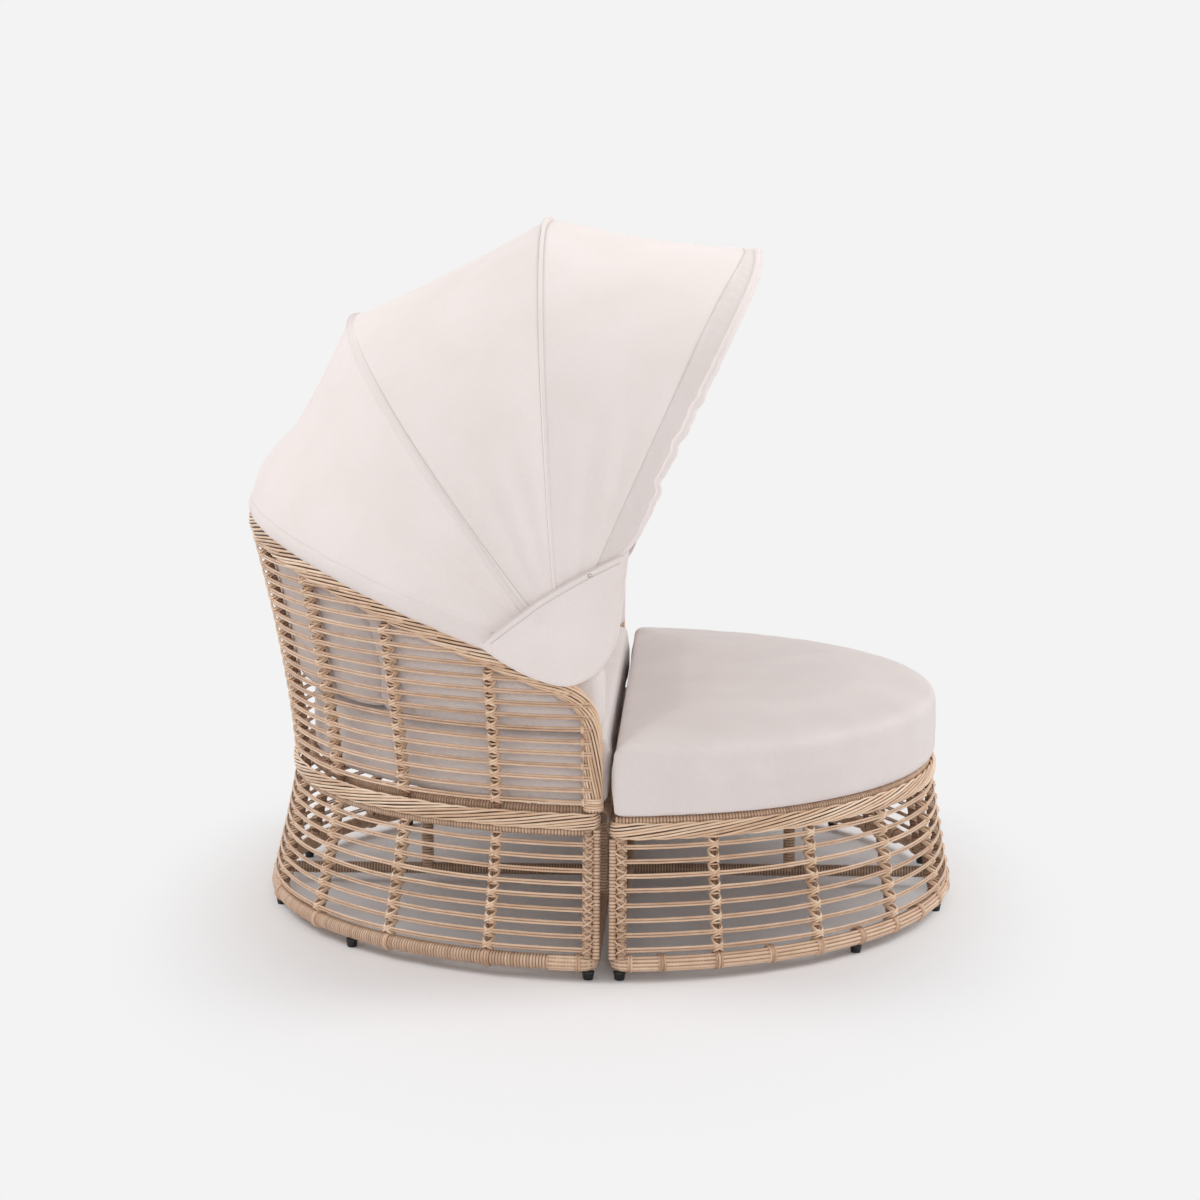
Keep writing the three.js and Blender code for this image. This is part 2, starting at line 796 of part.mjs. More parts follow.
// Lays a shape drawn as [towards the back, up] in a plane square to X.
const sideways = new THREE.Matrix4().makeBasis(
  new THREE.Vector3(0, 1, 0),
  new THREE.Vector3(0, 0, 1),
  new THREE.Vector3(1, 0, 0),
);

// Bracket plate on the arm rim, and the pin through it and the bow ends
function bracket(side) {
  const shape = new THREE.Shape();
  const toe = half * bracketFootWidth;
  const rearToe = rimHeight(angleAt(backOf, pivotY + toe, armHeight));
  shape.moveTo(-toe, armHeight - pivotZ);
  shape.lineTo(toe, rearToe - pivotZ);
  shape.lineTo(eyeRadius, 0);
  shape.absarc(0, 0, eyeRadius, 0, Math.PI);
  shape.closePath();
  const plate = new THREE.ExtrudeGeometry(shape, {
    depth: bracketThickness,
    bevelEnabled: false,
    curveSegments: pinSides,
  }).applyMatrix4(sideways);
  const middle = side * (bracketX + half * bracketThickness);
  plate.translate(middle - half * bracketThickness, pivotY, pivotZ);
  return cut(cut(plate, rimSolid(seat)), pinBore(middle, bracketThickness));
}

function mirrored(geometry) {
  const bare = geometry.clone();
  bare.deleteAttribute("normal");
  bare.deleteAttribute("uv");
  return facingOut(mergeVertices(bare).scale(-1, 1, 1));
}

const stackOut = strapX(bowReach.length - 1) + half * strapThickness + seat;

function pivotPin(mirror) {
  const profile = [
    [0, bracketX - pinTail],
    [half * pinDiameter + pinTailSpread, bracketX - pinTail],
    [half * pinDiameter + pinTailSpread, bracketX - seat],
    [half * pinDiameter, bracketX - seat],
    [half * pinDiameter, stackOut],
    [half * pinHeadDiameter, stackOut],
    [half * pinHeadDiameter, stackOut + pinHeadThickness],
    [0, stackOut + pinHeadThickness],
  ].map(([r, x]) => new THREE.Vector2(r, x));
  const pin = new THREE.LatheGeometry(profile, pinSides).rotateZ(half * Math.PI);
  const placed = pin.translate(0, pivotY, pivotZ);
  return mirror ? mirrored(placed) : placed;
}

// A panel of fabric between two bows, hollowed a little between them
function panel(first, second, hem = 0) {
  const along = 4;
  const margin = half * bowDiameter * fabricLift;
  const lastStep = 2 * bowSteps - fabricFirstStep;
  const point = (step, v, grow) => {
    const share = Math.min(step, 2 * bowSteps - step) / bowSteps;
    const a = onBow(first, share, margin + grow);
    const b = onBow(second, share, margin + grow);
    const width = a.distanceTo(b);
    const gap = (half * seat) / width;
    const p = new THREE.Vector3().lerpVectors(a, b, gap + (1 - 2 * gap) * v);
    const sag = 4 * Math.max(v * (1 - v), 0) * fabricSag;
    const outwards = new THREE.Vector3().subVectors(p, pivotPoint).normalize();
    p.addScaledVector(outwards, -sag * share);
    return step > bowSteps ? p.setX(-p.x) : p;
  };
  const across = Array.from({ length: along + 1 }, (_, j) => j / along);
  const crest = onBow(first, 1).distanceTo(onBow(second, 1));
  if (hem) across.push(1 + hem / crest);
  const rings = [];
  for (let step = fabricFirstStep; step <= lastStep; step++) {
    const ring = [];
    for (const v of across) ring.push(point(step, v, fabricThickness));
    for (const v of across.toReversed()) ring.push(point(step, v, 0));
    rings.push(ring);
  }
  return loft(rings);
}

// Fabric cover over each hinge, fastened on the head of the pivot pin
function hingeCover(mirror) {
  const shape = new THREE.Shape();
  shape.moveTo(...coverTail);
  shape.lineTo(...coverTip);
  shape.splineThru([...coverRound, coverTail].map(([y, z]) => new THREE.Vector2(y, z)));
  const sheet = new THREE.ExtrudeGeometry(shape, {
    depth: fabricThickness,
    bevelEnabled: false,
    curveSegments: 2,
  }).applyMatrix4(sideways);
  const inner = stackOut + pinHeadThickness + seat;
  sheet.translate(-inner - fabricThickness, pivotY, pivotZ);
  return mirror ? mirrored(sheet) : sheet;
}

// Assembly

const sofa = new THREE.Group();
const sofaFrame = {
  deckHeight: sofaDeckHeight,
  stakeTop: sofaStakeTop,
  legY: sofaLegY,
  stretcherDrop: sofaStretcherDrop,
};
sofa.add(piece("sofa_floor_ring", floorRing(backOf, sofaStretcherDrop), colours.frame));
sofa.add(piece("sofa_frame", seatFrame(backOf, sofaFrame), colours.frame));
const sofaRows = { rows: sofaBaseRows, firstRise: sofaFirstRowRise, topDrop: sofaTopRowDrop };
sofa.add(piece("sofa_base_canes", baseCanes(backOf, sofaRimBottom, sofaRows), colours.cane));
sofa.add(piece("sofa_base_rim", rimBand(backOf, sofaRimBottom, sofaRimHeight), colours.braid));
sofa.add(piece("back_weave", backWeave(), colours.braid));
sofa.add(...feet(backOf, "sofa"));

const footstool = new THREE.Group();
const footstoolFrame = {
  deckHeight: footstoolDeckHeight,
  stakeTop: () => footstoolDeckHeight,
  legY: footstoolLegY,
  stretcherDrop: 0,
};
footstool.add(piece("footstool_floor_ring", floorRing(frontOf, 0), colours.frame));
footstool.add(piece("footstool_frame", seatFrame(frontOf, footstoolFrame), colours.frame));
const stoolRows = {
  rows: footstoolRows,
  firstRise: footstoolFirstRowRise,
  topDrop: footstoolTopRowDrop,
};
footstool.add(
  piece("footstool_canes", baseCanes(frontOf, footstoolRimBottom, stoolRows), colours.cane),
);
footstool.add(
  piece("footstool_rim", rimBand(frontOf, footstoolRimBottom, footstoolRimHeight), colours.braid),
);
footstool.add(...feet(frontOf, "footstool"));

const cushions = new THREE.Group();
const stakeInside = caneDiameter + caneSeat + stakeDiameter + cushionGapToArm;
const deckHalfWidth = halfWidthAt(backOf, sofaDeckHeight);
const sofaCushionFront = half * halvesGap - cushionOverhang;
const footstoolCushionFront = cushionsGap - sofaCushionFront;
const sofaCushion = {
  width: deckHalfWidth - stakeInside,
  depth: deckHalfWidth * sofaDepthShare - stakeInside - sofaCushionFront,
  straightY: sofaCushionFront,
  side: 1,
  bottom: sofaDeckHeight + seat,
  thickness: cushionThickness,
};
const footstoolCushionWidth = footstoolWaist + footstoolCushionOverhang;
const footstoolCushion = {
  width: footstoolCushionWidth,
  depth: footstoolCushionWidth * footstoolDepthShare - footstoolCushionFront,
  straightY: -footstoolCushionFront,
  side: -1,
  bottom: footstoolDeckHeight + seat,
  thickness: footstoolCushionThickness,
};
cushions.add(piece("sofa_seat_cushion", halfRoundCushion(sofaCushion), colours.cushion));
cushions.add(piece("footstool_cushion", halfRoundCushion(footstoolCushion), colours.cushion));
const backCushionNames = ["left_arm", "left_back", "right_back", "right_arm"];
const cushionTop = sofaDeckHeight + 2 * seat + cushionThickness + cushionCrown;
backCushionNames.forEach((name, i) => {
  const gap = (half * backCushionGap) / sofaWaist;
  const overhang = armCushionOverhang / sofaWaist;
  const share = Math.PI / backCushionNames.length;
  const from = i > 0 ? i * share + gap : -overhang;
  const to = i + 1 < backCushionNames.length ? (i + 1) * share - gap : Math.PI + overhang;
  const pillow = backCushion(from, to, cushionTop);
  cushions.add(piece(`${name}_cushion`, pillow, colours.cushion));
});

const canopy = new THREE.Group();
for (const name of ["left", "right"]) {
  const right = name === "right";
  canopy.add(piece(`canopy_bracket_${name}`, bracket(right ? 1 : -1), colours.metal));
  canopy.add(piece(`pivot_pin_${name}`, pivotPin(right), colours.metal));
  canopy.add(piece(`hinge_cover_${name}`, hingeCover(right), colours.canopy));
}
const bowNames = ["rear_bow", "second_bow", "third_bow", "front_bow"];
bowNames.forEach((name, i) => canopy.add(piece(name, bowGeometry(i), colours.metal)));
canopy.add(piece("canopy_rear_panel", panel(0, 1), colours.canopy));
canopy.add(piece("canopy_middle_panel", panel(1, 2), colours.canopy));
canopy.add(piece("canopy_front_panel", panel(2, 3, frontHem), colours.canopy));

// The origin is on the floor under the middle of the whole part.
const daybed = new THREE.Group();
daybed.add(sofa, footstool, cushions, canopy);
daybed.updateMatrixWorld(true);
const extent = new THREE.Box3().setFromObject(daybed);
daybed.position.y = -half * (extent.min.y + extent.max.y);

const root = new THREE.Group();
root.add(daybed);
export default root;
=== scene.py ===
import math

import bpy
import numpy as np
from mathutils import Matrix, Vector

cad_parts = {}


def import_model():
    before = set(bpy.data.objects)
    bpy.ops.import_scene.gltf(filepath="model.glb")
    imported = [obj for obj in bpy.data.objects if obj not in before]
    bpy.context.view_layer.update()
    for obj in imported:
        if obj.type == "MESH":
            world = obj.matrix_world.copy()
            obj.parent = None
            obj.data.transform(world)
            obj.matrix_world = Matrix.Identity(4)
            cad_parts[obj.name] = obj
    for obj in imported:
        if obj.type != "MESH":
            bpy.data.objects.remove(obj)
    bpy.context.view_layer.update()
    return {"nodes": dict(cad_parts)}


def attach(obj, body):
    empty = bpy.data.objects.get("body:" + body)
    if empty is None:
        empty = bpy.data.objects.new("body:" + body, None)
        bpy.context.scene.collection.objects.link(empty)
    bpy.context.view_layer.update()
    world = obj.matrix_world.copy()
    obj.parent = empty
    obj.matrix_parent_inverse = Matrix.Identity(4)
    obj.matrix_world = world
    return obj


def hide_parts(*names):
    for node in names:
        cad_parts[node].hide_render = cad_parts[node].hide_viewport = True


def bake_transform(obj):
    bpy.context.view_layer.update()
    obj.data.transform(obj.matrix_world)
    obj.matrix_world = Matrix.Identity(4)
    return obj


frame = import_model()

# The outdoor daybed with its canopy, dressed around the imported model.
# Lengths are in millimetres from the middle of the split line, and become metres in the row frame.
MM = 0.001
SPLIT = np.array([0, -35.793, 0])  # the middle of the split line in the row frame
QUARTER = 0.5 * math.pi
MIRROR = np.array([-1, 1, 1])
UP = np.array([0.0, 0.0, 1.0])
HANDS = {"left": -1, "right": 1}

# Outline of the two sections
HALVES_GAP = 17
RING_HALF_WIDTH = 748
BASE_FLARE_POWER = 1.2
BACK_FLARE = 89
BACK_FLARE_HEIGHT = 531
BACK_FLARE_POWER = 1.5
FOOT_HEIGHT = 17.5
RING_DIAMETER = 31
RING_RADIUS = 0.5 * RING_DIAMETER
RING_CENTRE = FOOT_HEIGHT + RING_RADIUS
RING_TOP = FOOT_HEIGHT + RING_DIAMETER
RIM_HEIGHT = 35
RIM_DEPTH = 14

# Lattice
BAYS = 10
STAKE_DIAMETER = 15
STAKE_INSET = 16.5  # of a stake's centre line from the outer face of the canes
SEAT_RING_INSET = 36
CANE_DIAMETER = 4.6  # each row is a pair of canes
BACK_ROW_PITCH = 24.8
BACK_FIRST_ROW = 343
BACK_ROWS_END = 790  # no row lies above this
DECK = 330
STOOL_DECK = 307
WRAP_PITCH = 6.3
POST_OFFSET = 25.5
LEAN_STEP = 5  # a short step up the shell that shows its slant
SPLIT_LASHING = 50  # of a section's outermost lashings from the split line
EDGE_LASHING = 43  # of the lashings that end the back's canes, from the split line

# Turns of a wound bar: shares of a turn beside shares of the groove's depth, which also sets its painted
# shade
ROUND_TURN_SHARES = ((0, 1), (0.11, 0.62), (0.3, 0.1), (0.7, 0.1), (0.89, 0.62))
PLAIN_TURN_SHARES = ((0, 1), (0.5, 0))

# Arm and back rim
ARM_HEIGHT = 552
BACK_RISE = 276
RIM_BAR_DEPTH = 30
ARM_RIM_WIDTH = 40
BACK_RIM_WIDTH = 50
ARM_CORNER = 75
STRAND_LAY = 480  # length of one whole turn of a strand round its rim
CORE_DEPTH = 9  # by which a rim's core is thinner than the rim

# Frame tubes and feet
CHORD_DIAMETER = 28
RAIL_DIAMETER = 22
BAR_PITCH = 250
FRONT_LEG_Y = 20
FRONT_LEG_DIAMETER = 18
FRONT_RAIL_Y = 8
FRONT_RAIL_DROP = 13  # below the seat's bars
FRONT_RAIL_DIAMETER = 26
END_STRAND_DIAMETER = 6.2
FOOT_DEGREES = (2.4, 44.5, 74)
FOOT_PROFILE = ((0.3, 0), (7.4, 0), (9, 0.5), (9.8, 1.8), (11.5, 12.6), (12, 13.4), (12, 16.4), (11.4, 17.1),
                (4, 17.2))

# Cushions
PILLOW_BOTTOM = 478.9
PILLOW_THICKNESS = 118
PILLOW_RISE = 45  # above the rim
PILLOW_INSET = STAKE_INSET + 82.5  # of a pillow's middle from the outer face of the canes
PILLOW_GAP = 14
CUSHION_EDGE = 20
CUSHION_SHRINK = 4

# Canopy
PIVOT = np.array([0.0, 85.0, 637.0])
BOW_NAMES = ("rear_bow", "second_bow", "third_bow", "front_bow")
BOW_BODY = ("sofa", *BOW_NAMES[1:])
BOW_REACH = (731, 770, 811, 826)
BOW_ANGLE = tuple(math.radians(a) for a in (18.3, 51.4, 85.6, 115.5))
BOW_POWER = (2, 2, 2.3, 3.15)
BOW_X = (705.3, 709.6, 713.9, 718.2)
BOW_DIAMETER = 16
STRAP_DEPTH = 20
STRAP_THICKNESS = 4
STRAP_LENGTH = 190
STRAP_TAPER = 50
EYE_PROFILE = ((5.4, 0), (13.4, 0), (14, 0.6), (14, 3.4), (13.4, 4), (5.4, 4), (5.4, 0))
CLOTH = 2.5
CLOTH_RISE = 12  # of the cloth over a bow's centre line, near enough to measure between bows
SAG = 9
PANEL_STEPS = 30
FRONT_HEM = 41
HEM_ROLL = 8.5

# Hinges: places on the covers are given backwards and upwards from the pivot
COVER_X = 728.05
COVER_BAND = 13
COVER_TAIL = (155, 24)
COVER_TIP = (-130, 205)
COVER_BULGE = 12  # how far the top edge bows upwards
COVER_ROUND = ((-119, 112), (-107, 34), (-77, -20), (-38, -48), (0, -54), (58, -37), (115, -6))
COVER_MIDDLE = (5.0, 55.0)
COVER_RING_SHARES = (1, 0.985, 0.95, 0.88, 0.78, 0.66, 0.52, 0.38, 0.24, 0.1)
PIPING_DIAMETER = 5
SNAP_PLACE = (-57.9, 158.0)
SNAP_PROFILE = ((0.3, 2.4), (2.4, 2.2), (4.2, 1.3), (4.6, 0.4), (4.6, -1))
PIN_PROFILE = ((0.3, 689.1), (7, 689.1), (8, 690.2), (8, 696.5), (5, 696.9), (5, 720.6), (9, 720.6),
               (10, 721.6), (10, 725.1), (8.6, 726.2), (0.3, 726.5))


def unit(vectors):
    return vectors / np.maximum(np.linalg.norm(vectors, axis=-1, keepdims=True), 1e-9)


def smooth(x):
    x = np.clip(x, 0, 1)
    return x * x * (3 - 2 * x)


def bell(x, middle, width):
    return np.exp(-(((x - middle) / width) ** 2))


def metres(points):
    """Points in metres of the row frame."""
    return (points + SPLIT) * MM


class Section:
    """One half of the daybed: the sofa behind the split line, or the footstool in front of it."""

    def __init__(self, name, side, depth_share, waist, rim_bottom, rows, first_rise, top_drop):
        self.name, self.side, self.depth_share = name, side, depth_share
        self.waist, self.rim_bottom = waist, rim_bottom
        self.post_angle = math.asin(POST_OFFSET / (self.half_width(RING_TOP) * depth_share))
        self.stake_angles = [math.pi * k / BAYS for k in range(1, BAYS)]
        self.row_heights = np.linspace(RING_TOP + first_rise, rim_bottom - top_drop, rows)

    def half_width(self, z):
        drop = np.clip((self.rim_bottom - z) / (self.rim_bottom - RING_CENTRE), 0, 1)
        climb = np.maximum((z - self.rim_bottom) / BACK_FLARE_HEIGHT, 0) if self.side > 0 else 0 * z
        taper = (RING_HALF_WIDTH - self.waist) * drop**BASE_FLARE_POWER
        return self.waist + taper + BACK_FLARE * climb**BACK_FLARE_POWER

    def at(self, angle, z, inset):
        """Points at angles from the left end, at a height, this far inside the canes' outer face."""
        angle, z, inset = np.broadcast_arrays(*(np.asarray(v, float) for v in (angle, z, inset)))
        width = self.half_width(z)
        x = -(width - inset) * np.cos(angle)
        y = self.side * (width * self.depth_share - inset) * np.sin(angle)
        return np.stack([x, y, z], -1)

    def out(self, angle):
        angle = np.asarray(angle, float)
        return np.stack([-np.cos(angle), self.side * np.sin(angle), 0 * angle], -1)

    def angle_at(self, distance, z, inset):
        """The angle at which a line lies this far from the split line."""
        return math.asin(distance / (float(self.half_width(z)) * self.depth_share - inset))

    def lean(self, angle, z, inset):
        """Unit vector up along the shell."""
        return unit(self.at(angle, z + LEAN_STEP, inset) - self.at(angle, z, inset))


SOFA = Section("sofa", side=1, depth_share=1.015, waist=692, rim_bottom=287, rows=9, first_rise=12,
               top_drop=27)
STOOL = Section("footstool", side=-1, depth_share=0.975, waist=708, rim_bottom=272, rows=8,
                first_rise=13, top_drop=12.5)
STRETCHER_DROP = {SOFA: 3, STOOL: 0}  # of the low stretcher and the seat's legs below the floor ring
RIM_RAIL = {SOFA: {"level": SOFA.rim_bottom - 6, "inset": 13, "edge": 40, "diameter": 17},
            STOOL: {"level": STOOL_DECK, "inset": 15.5, "edge": 20, "diameter": 20}}


# Meshes


def circle(count):
    """Evenly spaced angles of a full turn."""
    return np.arange(count) * 2 * math.pi / count


def distances(path):
    """How far along a path each of its points lies."""
    return np.concatenate([[0], np.cumsum(np.linalg.norm(np.diff(path, axis=0), axis=1))])


def points_at(spots, run, points):
    """Points at these distances of a path, whose own points lie at the distances run."""
    return np.stack([np.interp(spots, run, values) for values in points.T], 1)


def spread(values, count):
    """Evenly spaced values, or a single one, over count points."""
    values = np.atleast_1d(values)
    return np.interp(np.linspace(0, 1, count), np.linspace(0, 1, len(values)), values)


def resample(path, out, step):
    """The same path with evenly spaced points, and each one's distance along it."""
    run = distances(path)
    spots = np.linspace(0, run[-1], max(round(run[-1] / step), 1) + 1)
    return points_at(spots, run, path), points_at(spots, run, out), spots


def frames(path, out, looped=False):
    """Unit vectors outwards and sideways at each point of a path."""
    steps = np.roll(path, -1, 0) - np.roll(path, 1, 0) if looped else np.gradient(path, axis=0)
    along = unit(steps)
    outwards = unit(out - along * np.sum(out * along, 1, keepdims=True))
    return outwards, np.cross(along, outwards)


def spokes(outwards, sideways, turn, depth=1, width=1):
    """Vectors from a middle to an oval round it, at angles from outwards."""
    return outwards * (depth * np.cos(turn))[:, None] + sideways * (width * np.sin(turn))[:, None]


def tube(path, out, depth, width, sides, looped=False):
    """Rings of an oval section along a path, the first point of each one outwards."""
    outwards, sideways = frames(path, out, looped)
    turn = circle(sides)
    depth, width = (np.broadcast_to(v, len(path))[:, None, None] / 2 for v in (depth, width))
    across = outwards[:, None] * np.cos(turn)[None, :, None] * depth
    return path[:, None] + across + sideways[:, None] * np.sin(turn)[None, :, None] * width


def quads(n, m, looped=False, round_rows=False):
    """Faces of a grid of n rows of m points, closed on its first row or round each row."""
    i = np.arange(n if looped else n - 1)[:, None]
    j = np.arange(m if round_rows else m - 1)[None, :]
    below, beside = (i + 1) % n, (j + 1) % m
    corners = [i * m + j, i * m + beside, below * m + beside, below * m + j]
    return np.stack(corners, -1).reshape(-1, 4)


class Weave:
    """Bars, strands and sheets that together become one mesh."""

    def __init__(self, seed=1):
        self.points, self.corners, self.sizes = [], [], []
        self.tints, self.runs, self.gaps = [], [], []
        self.count = 0
        self.random = np.random.default_rng(seed)

    def _keep(self, points, faces, tint, run, gap):
        self.points.append(points)
        self.tints.append(np.broadcast_to(tint, len(points)))
        self.gaps.append(np.broadcast_to(gap, len(points)))
        self.runs.append(run)
        for polygons in faces:
            polygons = np.atleast_2d(polygons)
            self.corners.append((polygons + self.count).ravel())
            self.sizes.append(np.full(len(polygons), polygons.shape[1]))
        self.count += len(points)

    def bar(self, rings, tint=None, looped=False, gap=0.0):
        """A skin over rings of points, closed at its ends or on itself."""
        n, s = rings.shape[:2]
        faces = [quads(n, s, looped, round_rows=True)]
        if not looped:
            faces += [np.arange(s)[::-1], (n - 1) * s + np.arange(s)]
        tint = self.random.random() if tint is None else tint
        self._keep(rings.reshape(-1, 3), faces, tint, np.repeat(distances(rings.mean(1)), s), gap)

    def sheet(self, outer, inner, gap=0.0):
        """Two grids of points that face apart, joined along their four edges."""
        n, m = outer.shape[:2]
        face = quads(n, m)
        loop = np.concatenate([np.arange(m), m * np.arange(1, n) + m - 1,
                               (n - 1) * m + np.arange(m - 2, -1, -1), m * np.arange(n - 2, 0, -1)])
        after = np.roll(loop, -1)
        shift = n * m
        edge = np.stack([loop, loop + shift, after + shift, after], -1)
        points = np.concatenate([outer.reshape(-1, 3), inner.reshape(-1, 3)])
        run = np.tile(np.repeat(np.arange(n), m), 2)
        gap = np.tile(np.broadcast_to(gap, (n, m)).ravel(), 2)
        self._keep(points, [face, face[:, ::-1] + shift, edge], 0.5, run, gap)

    def make(self, name, material, body):
        """The finished piece, which rides with this body, or with what is set later."""
        points = metres(np.concatenate(self.points))
        corners, sizes = np.concatenate(self.corners), np.concatenate(self.sizes)
        mesh = bpy.data.meshes.new(name)
        mesh.vertices.add(len(points))
        mesh.vertices.foreach_set("co", points.ravel())
        mesh.loops.add(len(corners))
        mesh.loops.foreach_set("vertex_index", corners.astype(np.int32))
        mesh.polygons.add(len(sizes))
        starts = np.cumsum(sizes) - sizes
        mesh.polygons.foreach_set("loop_start", starts.astype(np.int32))
        mesh.polygons.foreach_set("use_smooth", sizes == 4)
        mesh.update(calc_edges=True)
        # the gap attribute marks where shade is painted into the colour
        for key, values in (("tint", self.tints), ("run", self.runs), ("gap", self.gaps)):
            layer = mesh.attributes.new(key, "FLOAT", "POINT")
            layer.data.foreach_set("value", np.concatenate(values).astype(np.float32))
        mesh.materials.append(material)
        piece = bpy.data.objects.new(name, mesh)
        bpy.context.scene.collection.objects.link(piece)
        if body:
            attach(piece, body)
        return piece


# Materials


def colour(red, green, blue):
    """An sRGB colour of 0 to 255 as the linear one that a shader takes."""
    channels = [c / 255 for c in (red, green, blue)]
    linear = [c / 12.92 if c < 0.04045 else ((c + 0.055) / 1.055) ** 2.4 for c in channels]
    return (*linear, 1.0)


def shaded(shade, factor):
    """A colour made darker or lighter."""
    return tuple(c * factor for c in shade[:3]) + (1,)


class Nodes:
    """A tree of shader nodes."""

    def __init__(self, tree):
        self.tree = tree

    def feed(self, socket, value):
        if isinstance(value, bpy.types.NodeSocket):
            self.tree.links.new(value, socket)
        else:
            socket.default_value = value

    def node(self, kind, *values, settings=None, **inputs):
        """A new node: the values go to its first inputs in turn, the others to inputs by name."""
        made = self.tree.nodes.new(kind)
        for key, value in (settings or {}).items():
            setattr(made, key, value)
        for socket, value in zip(made.inputs, values):
            self.feed(socket, value)
        for key, value in inputs.items():
            self.feed(made.inputs[key.replace("_", " ")], value)
        return made

    def math(self, operation, a, b):
        return self.node("ShaderNodeMath", a, b, settings={"operation": operation}).outputs[0]

    def blend(self, a, share, b, rest=1):
        """The sum of a and b, each times its share."""
        return self.math("ADD", self.math("MULTIPLY", a, share), self.math("MULTIPLY", b, rest))

    def seen(self):
        """1 where the camera looks, straight on, by a mirror or through glass; 0 for light that bounces."""
        rays = self.node("ShaderNodeLightPath").outputs
        direct = self.math("MAXIMUM", rays["Is Camera Ray"], rays["Is Glossy Ray"])
        return self.math("MAXIMUM", direct, rays["Is Transmission Ray"])


class Paint(Nodes):
    """A material and its nodes."""

    def __init__(self, name, **values):
        self.material = bpy.data.materials.new(name)
        self.material.use_nodes = True
        super().__init__(self.material.node_tree)
        self.shader = self.tree.nodes["Principled BSDF"]
        for key, value in values.items():
            self.shader.inputs[key.replace("_", " ")].default_value = value

    def into(self, key, output):
        self.tree.links.new(output, self.shader.inputs[key])

    def ramp(self, factor, *stops):
        made = self.node("ShaderNodeValToRGB", factor)
        elements = made.color_ramp.elements
        for i, (place, shade) in enumerate(stops):
            element = elements[i] if i < 2 else elements.new(place)
            element.position, element.color = place, shade
        return made.outputs["Color"]

    def attribute(self, name):
        return self.node("ShaderNodeAttribute", settings={"attribute_name": name}).outputs["Fac"]

    def place(self):
        return self.node("ShaderNodeTexCoord").outputs["Object"]

    def noise(self, vector, scale, detail=3):
        return self.node("ShaderNodeTexNoise", Vector=vector, Scale=scale, Detail=detail).outputs["Fac"]

    def bump(self, height, strength, distance):
        made = self.node("ShaderNodeBump", Height=height, Strength=strength, Distance=distance)
        self.into("Normal", made.outputs["Normal"])

    def add_painted_shade(self, unshaded, deep):
        """Painted shade: the unshaded colour, going over to the deep one by the gap attribute."""
        mix = self.node("ShaderNodeMix", self.attribute("gap"), settings={"data_type": "RGBA"})
        self.feed(mix.inputs[6], unshaded)
        self.feed(mix.inputs[7], deep)
        return mix.outputs[2]


def cane_paint(name, dark, middle, light, roughness):
    """Round cane of extruded fibre: a colour of its own for each length, fine streaks, and painted shade in
    its grooves and gaps.
    """
    paint = Paint(name, Specular_IOR_Level=0.45, Coat_Weight=0.2, Coat_Roughness=0.3)
    tint, run = paint.attribute("tint"), paint.attribute("run")
    along, own = paint.math("MULTIPLY", run, 0.004), paint.math("MULTIPLY", tint, 37)
    drift = paint.noise(paint.node("ShaderNodeCombineXYZ", along, own).outputs["Vector"], scale=3)
    blotch = paint.noise(paint.place(), scale=45)
    shade = paint.blend(paint.blend(tint, 0.4, drift, 0.6), 0.75, blotch, 0.25)
    unshaded = paint.ramp(shade, (0.25, dark), (0.75, light), (0.5, middle))
    # painted shade: a near-black brown where the gap attribute is set
    paint.into("Base Color", paint.add_painted_shade(unshaded, shaded(dark, 0.3)))
    fibre = paint.noise(paint.place(), scale=900, detail=2)
    paint.into("Roughness", paint.blend(fibre, 0.18, roughness - 0.09))
    paint.bump(fibre, strength=0.35, distance=0.0004)
    return paint.material


def weave_paint(name, dark, light, thread, roughness, sheen):
    """Plain-woven cloth: crossing threads, a faint slub and soft blotches, with painted shade on hems,
    sleeve and stitching by the gap attribute.
    """
    paint = Paint(name, Roughness=roughness, Sheen_Weight=sheen, Sheen_Roughness=0.5,
                  Specular_IOR_Level=0.25)
    place = paint.place()
    slub = paint.noise(place, scale=160)
    blotch = paint.noise(place, scale=7, detail=2)
    shade = paint.blend(slub, 0.35, blotch, 0.65)
    unshaded_cloth = paint.ramp(shade, (0.3, dark), (0.7, light))
    # painted shade: a darker colour where the gap attribute is set
    paint.into("Base Color", paint.add_painted_shade(unshaded_cloth, shaded(dark, 0.72)))
    threads = []
    for direction in ("X", "Z", "Y"):
        bands = {"wave_type": "BANDS", "bands_direction": direction}
        made = paint.node("ShaderNodeTexWave", settings=bands, Vector=place, Scale=thread, Distortion=0.6)
        threads.append(made.outputs["Fac"])
    crossed = paint.math("ADD", paint.math("ADD", threads[0], threads[1]), threads[2])
    paint.bump(paint.math("ADD", crossed, slub), strength=0.3, distance=0.0003)
    return paint.material


def plastic_paint(name, base, roughness):
    paint = Paint(name, Specular_IOR_Level=0.5)
    grain = paint.noise(paint.place(), scale=700, detail=2)
    paint.into("Base Color", paint.ramp(grain, (0.35, base), (0.7, shaded(base, 1.25))))
    paint.into("Roughness", paint.blend(grain, 0.2, roughness))
    paint.bump(grain, strength=0.25, distance=0.0003)
    return paint.material


def metal_paint(name, base, roughness):
    paint = Paint(name, Metallic=0.85)
    grain = paint.noise(paint.place(), scale=350)
    paint.into("Base Color", paint.ramp(grain, (0.3, shaded(base, 0.85)), (0.7, base)))
    paint.into("Roughness", paint.blend(grain, 0.15, roughness))
    paint.bump(grain, strength=0.15, distance=0.0002)
    return paint.material


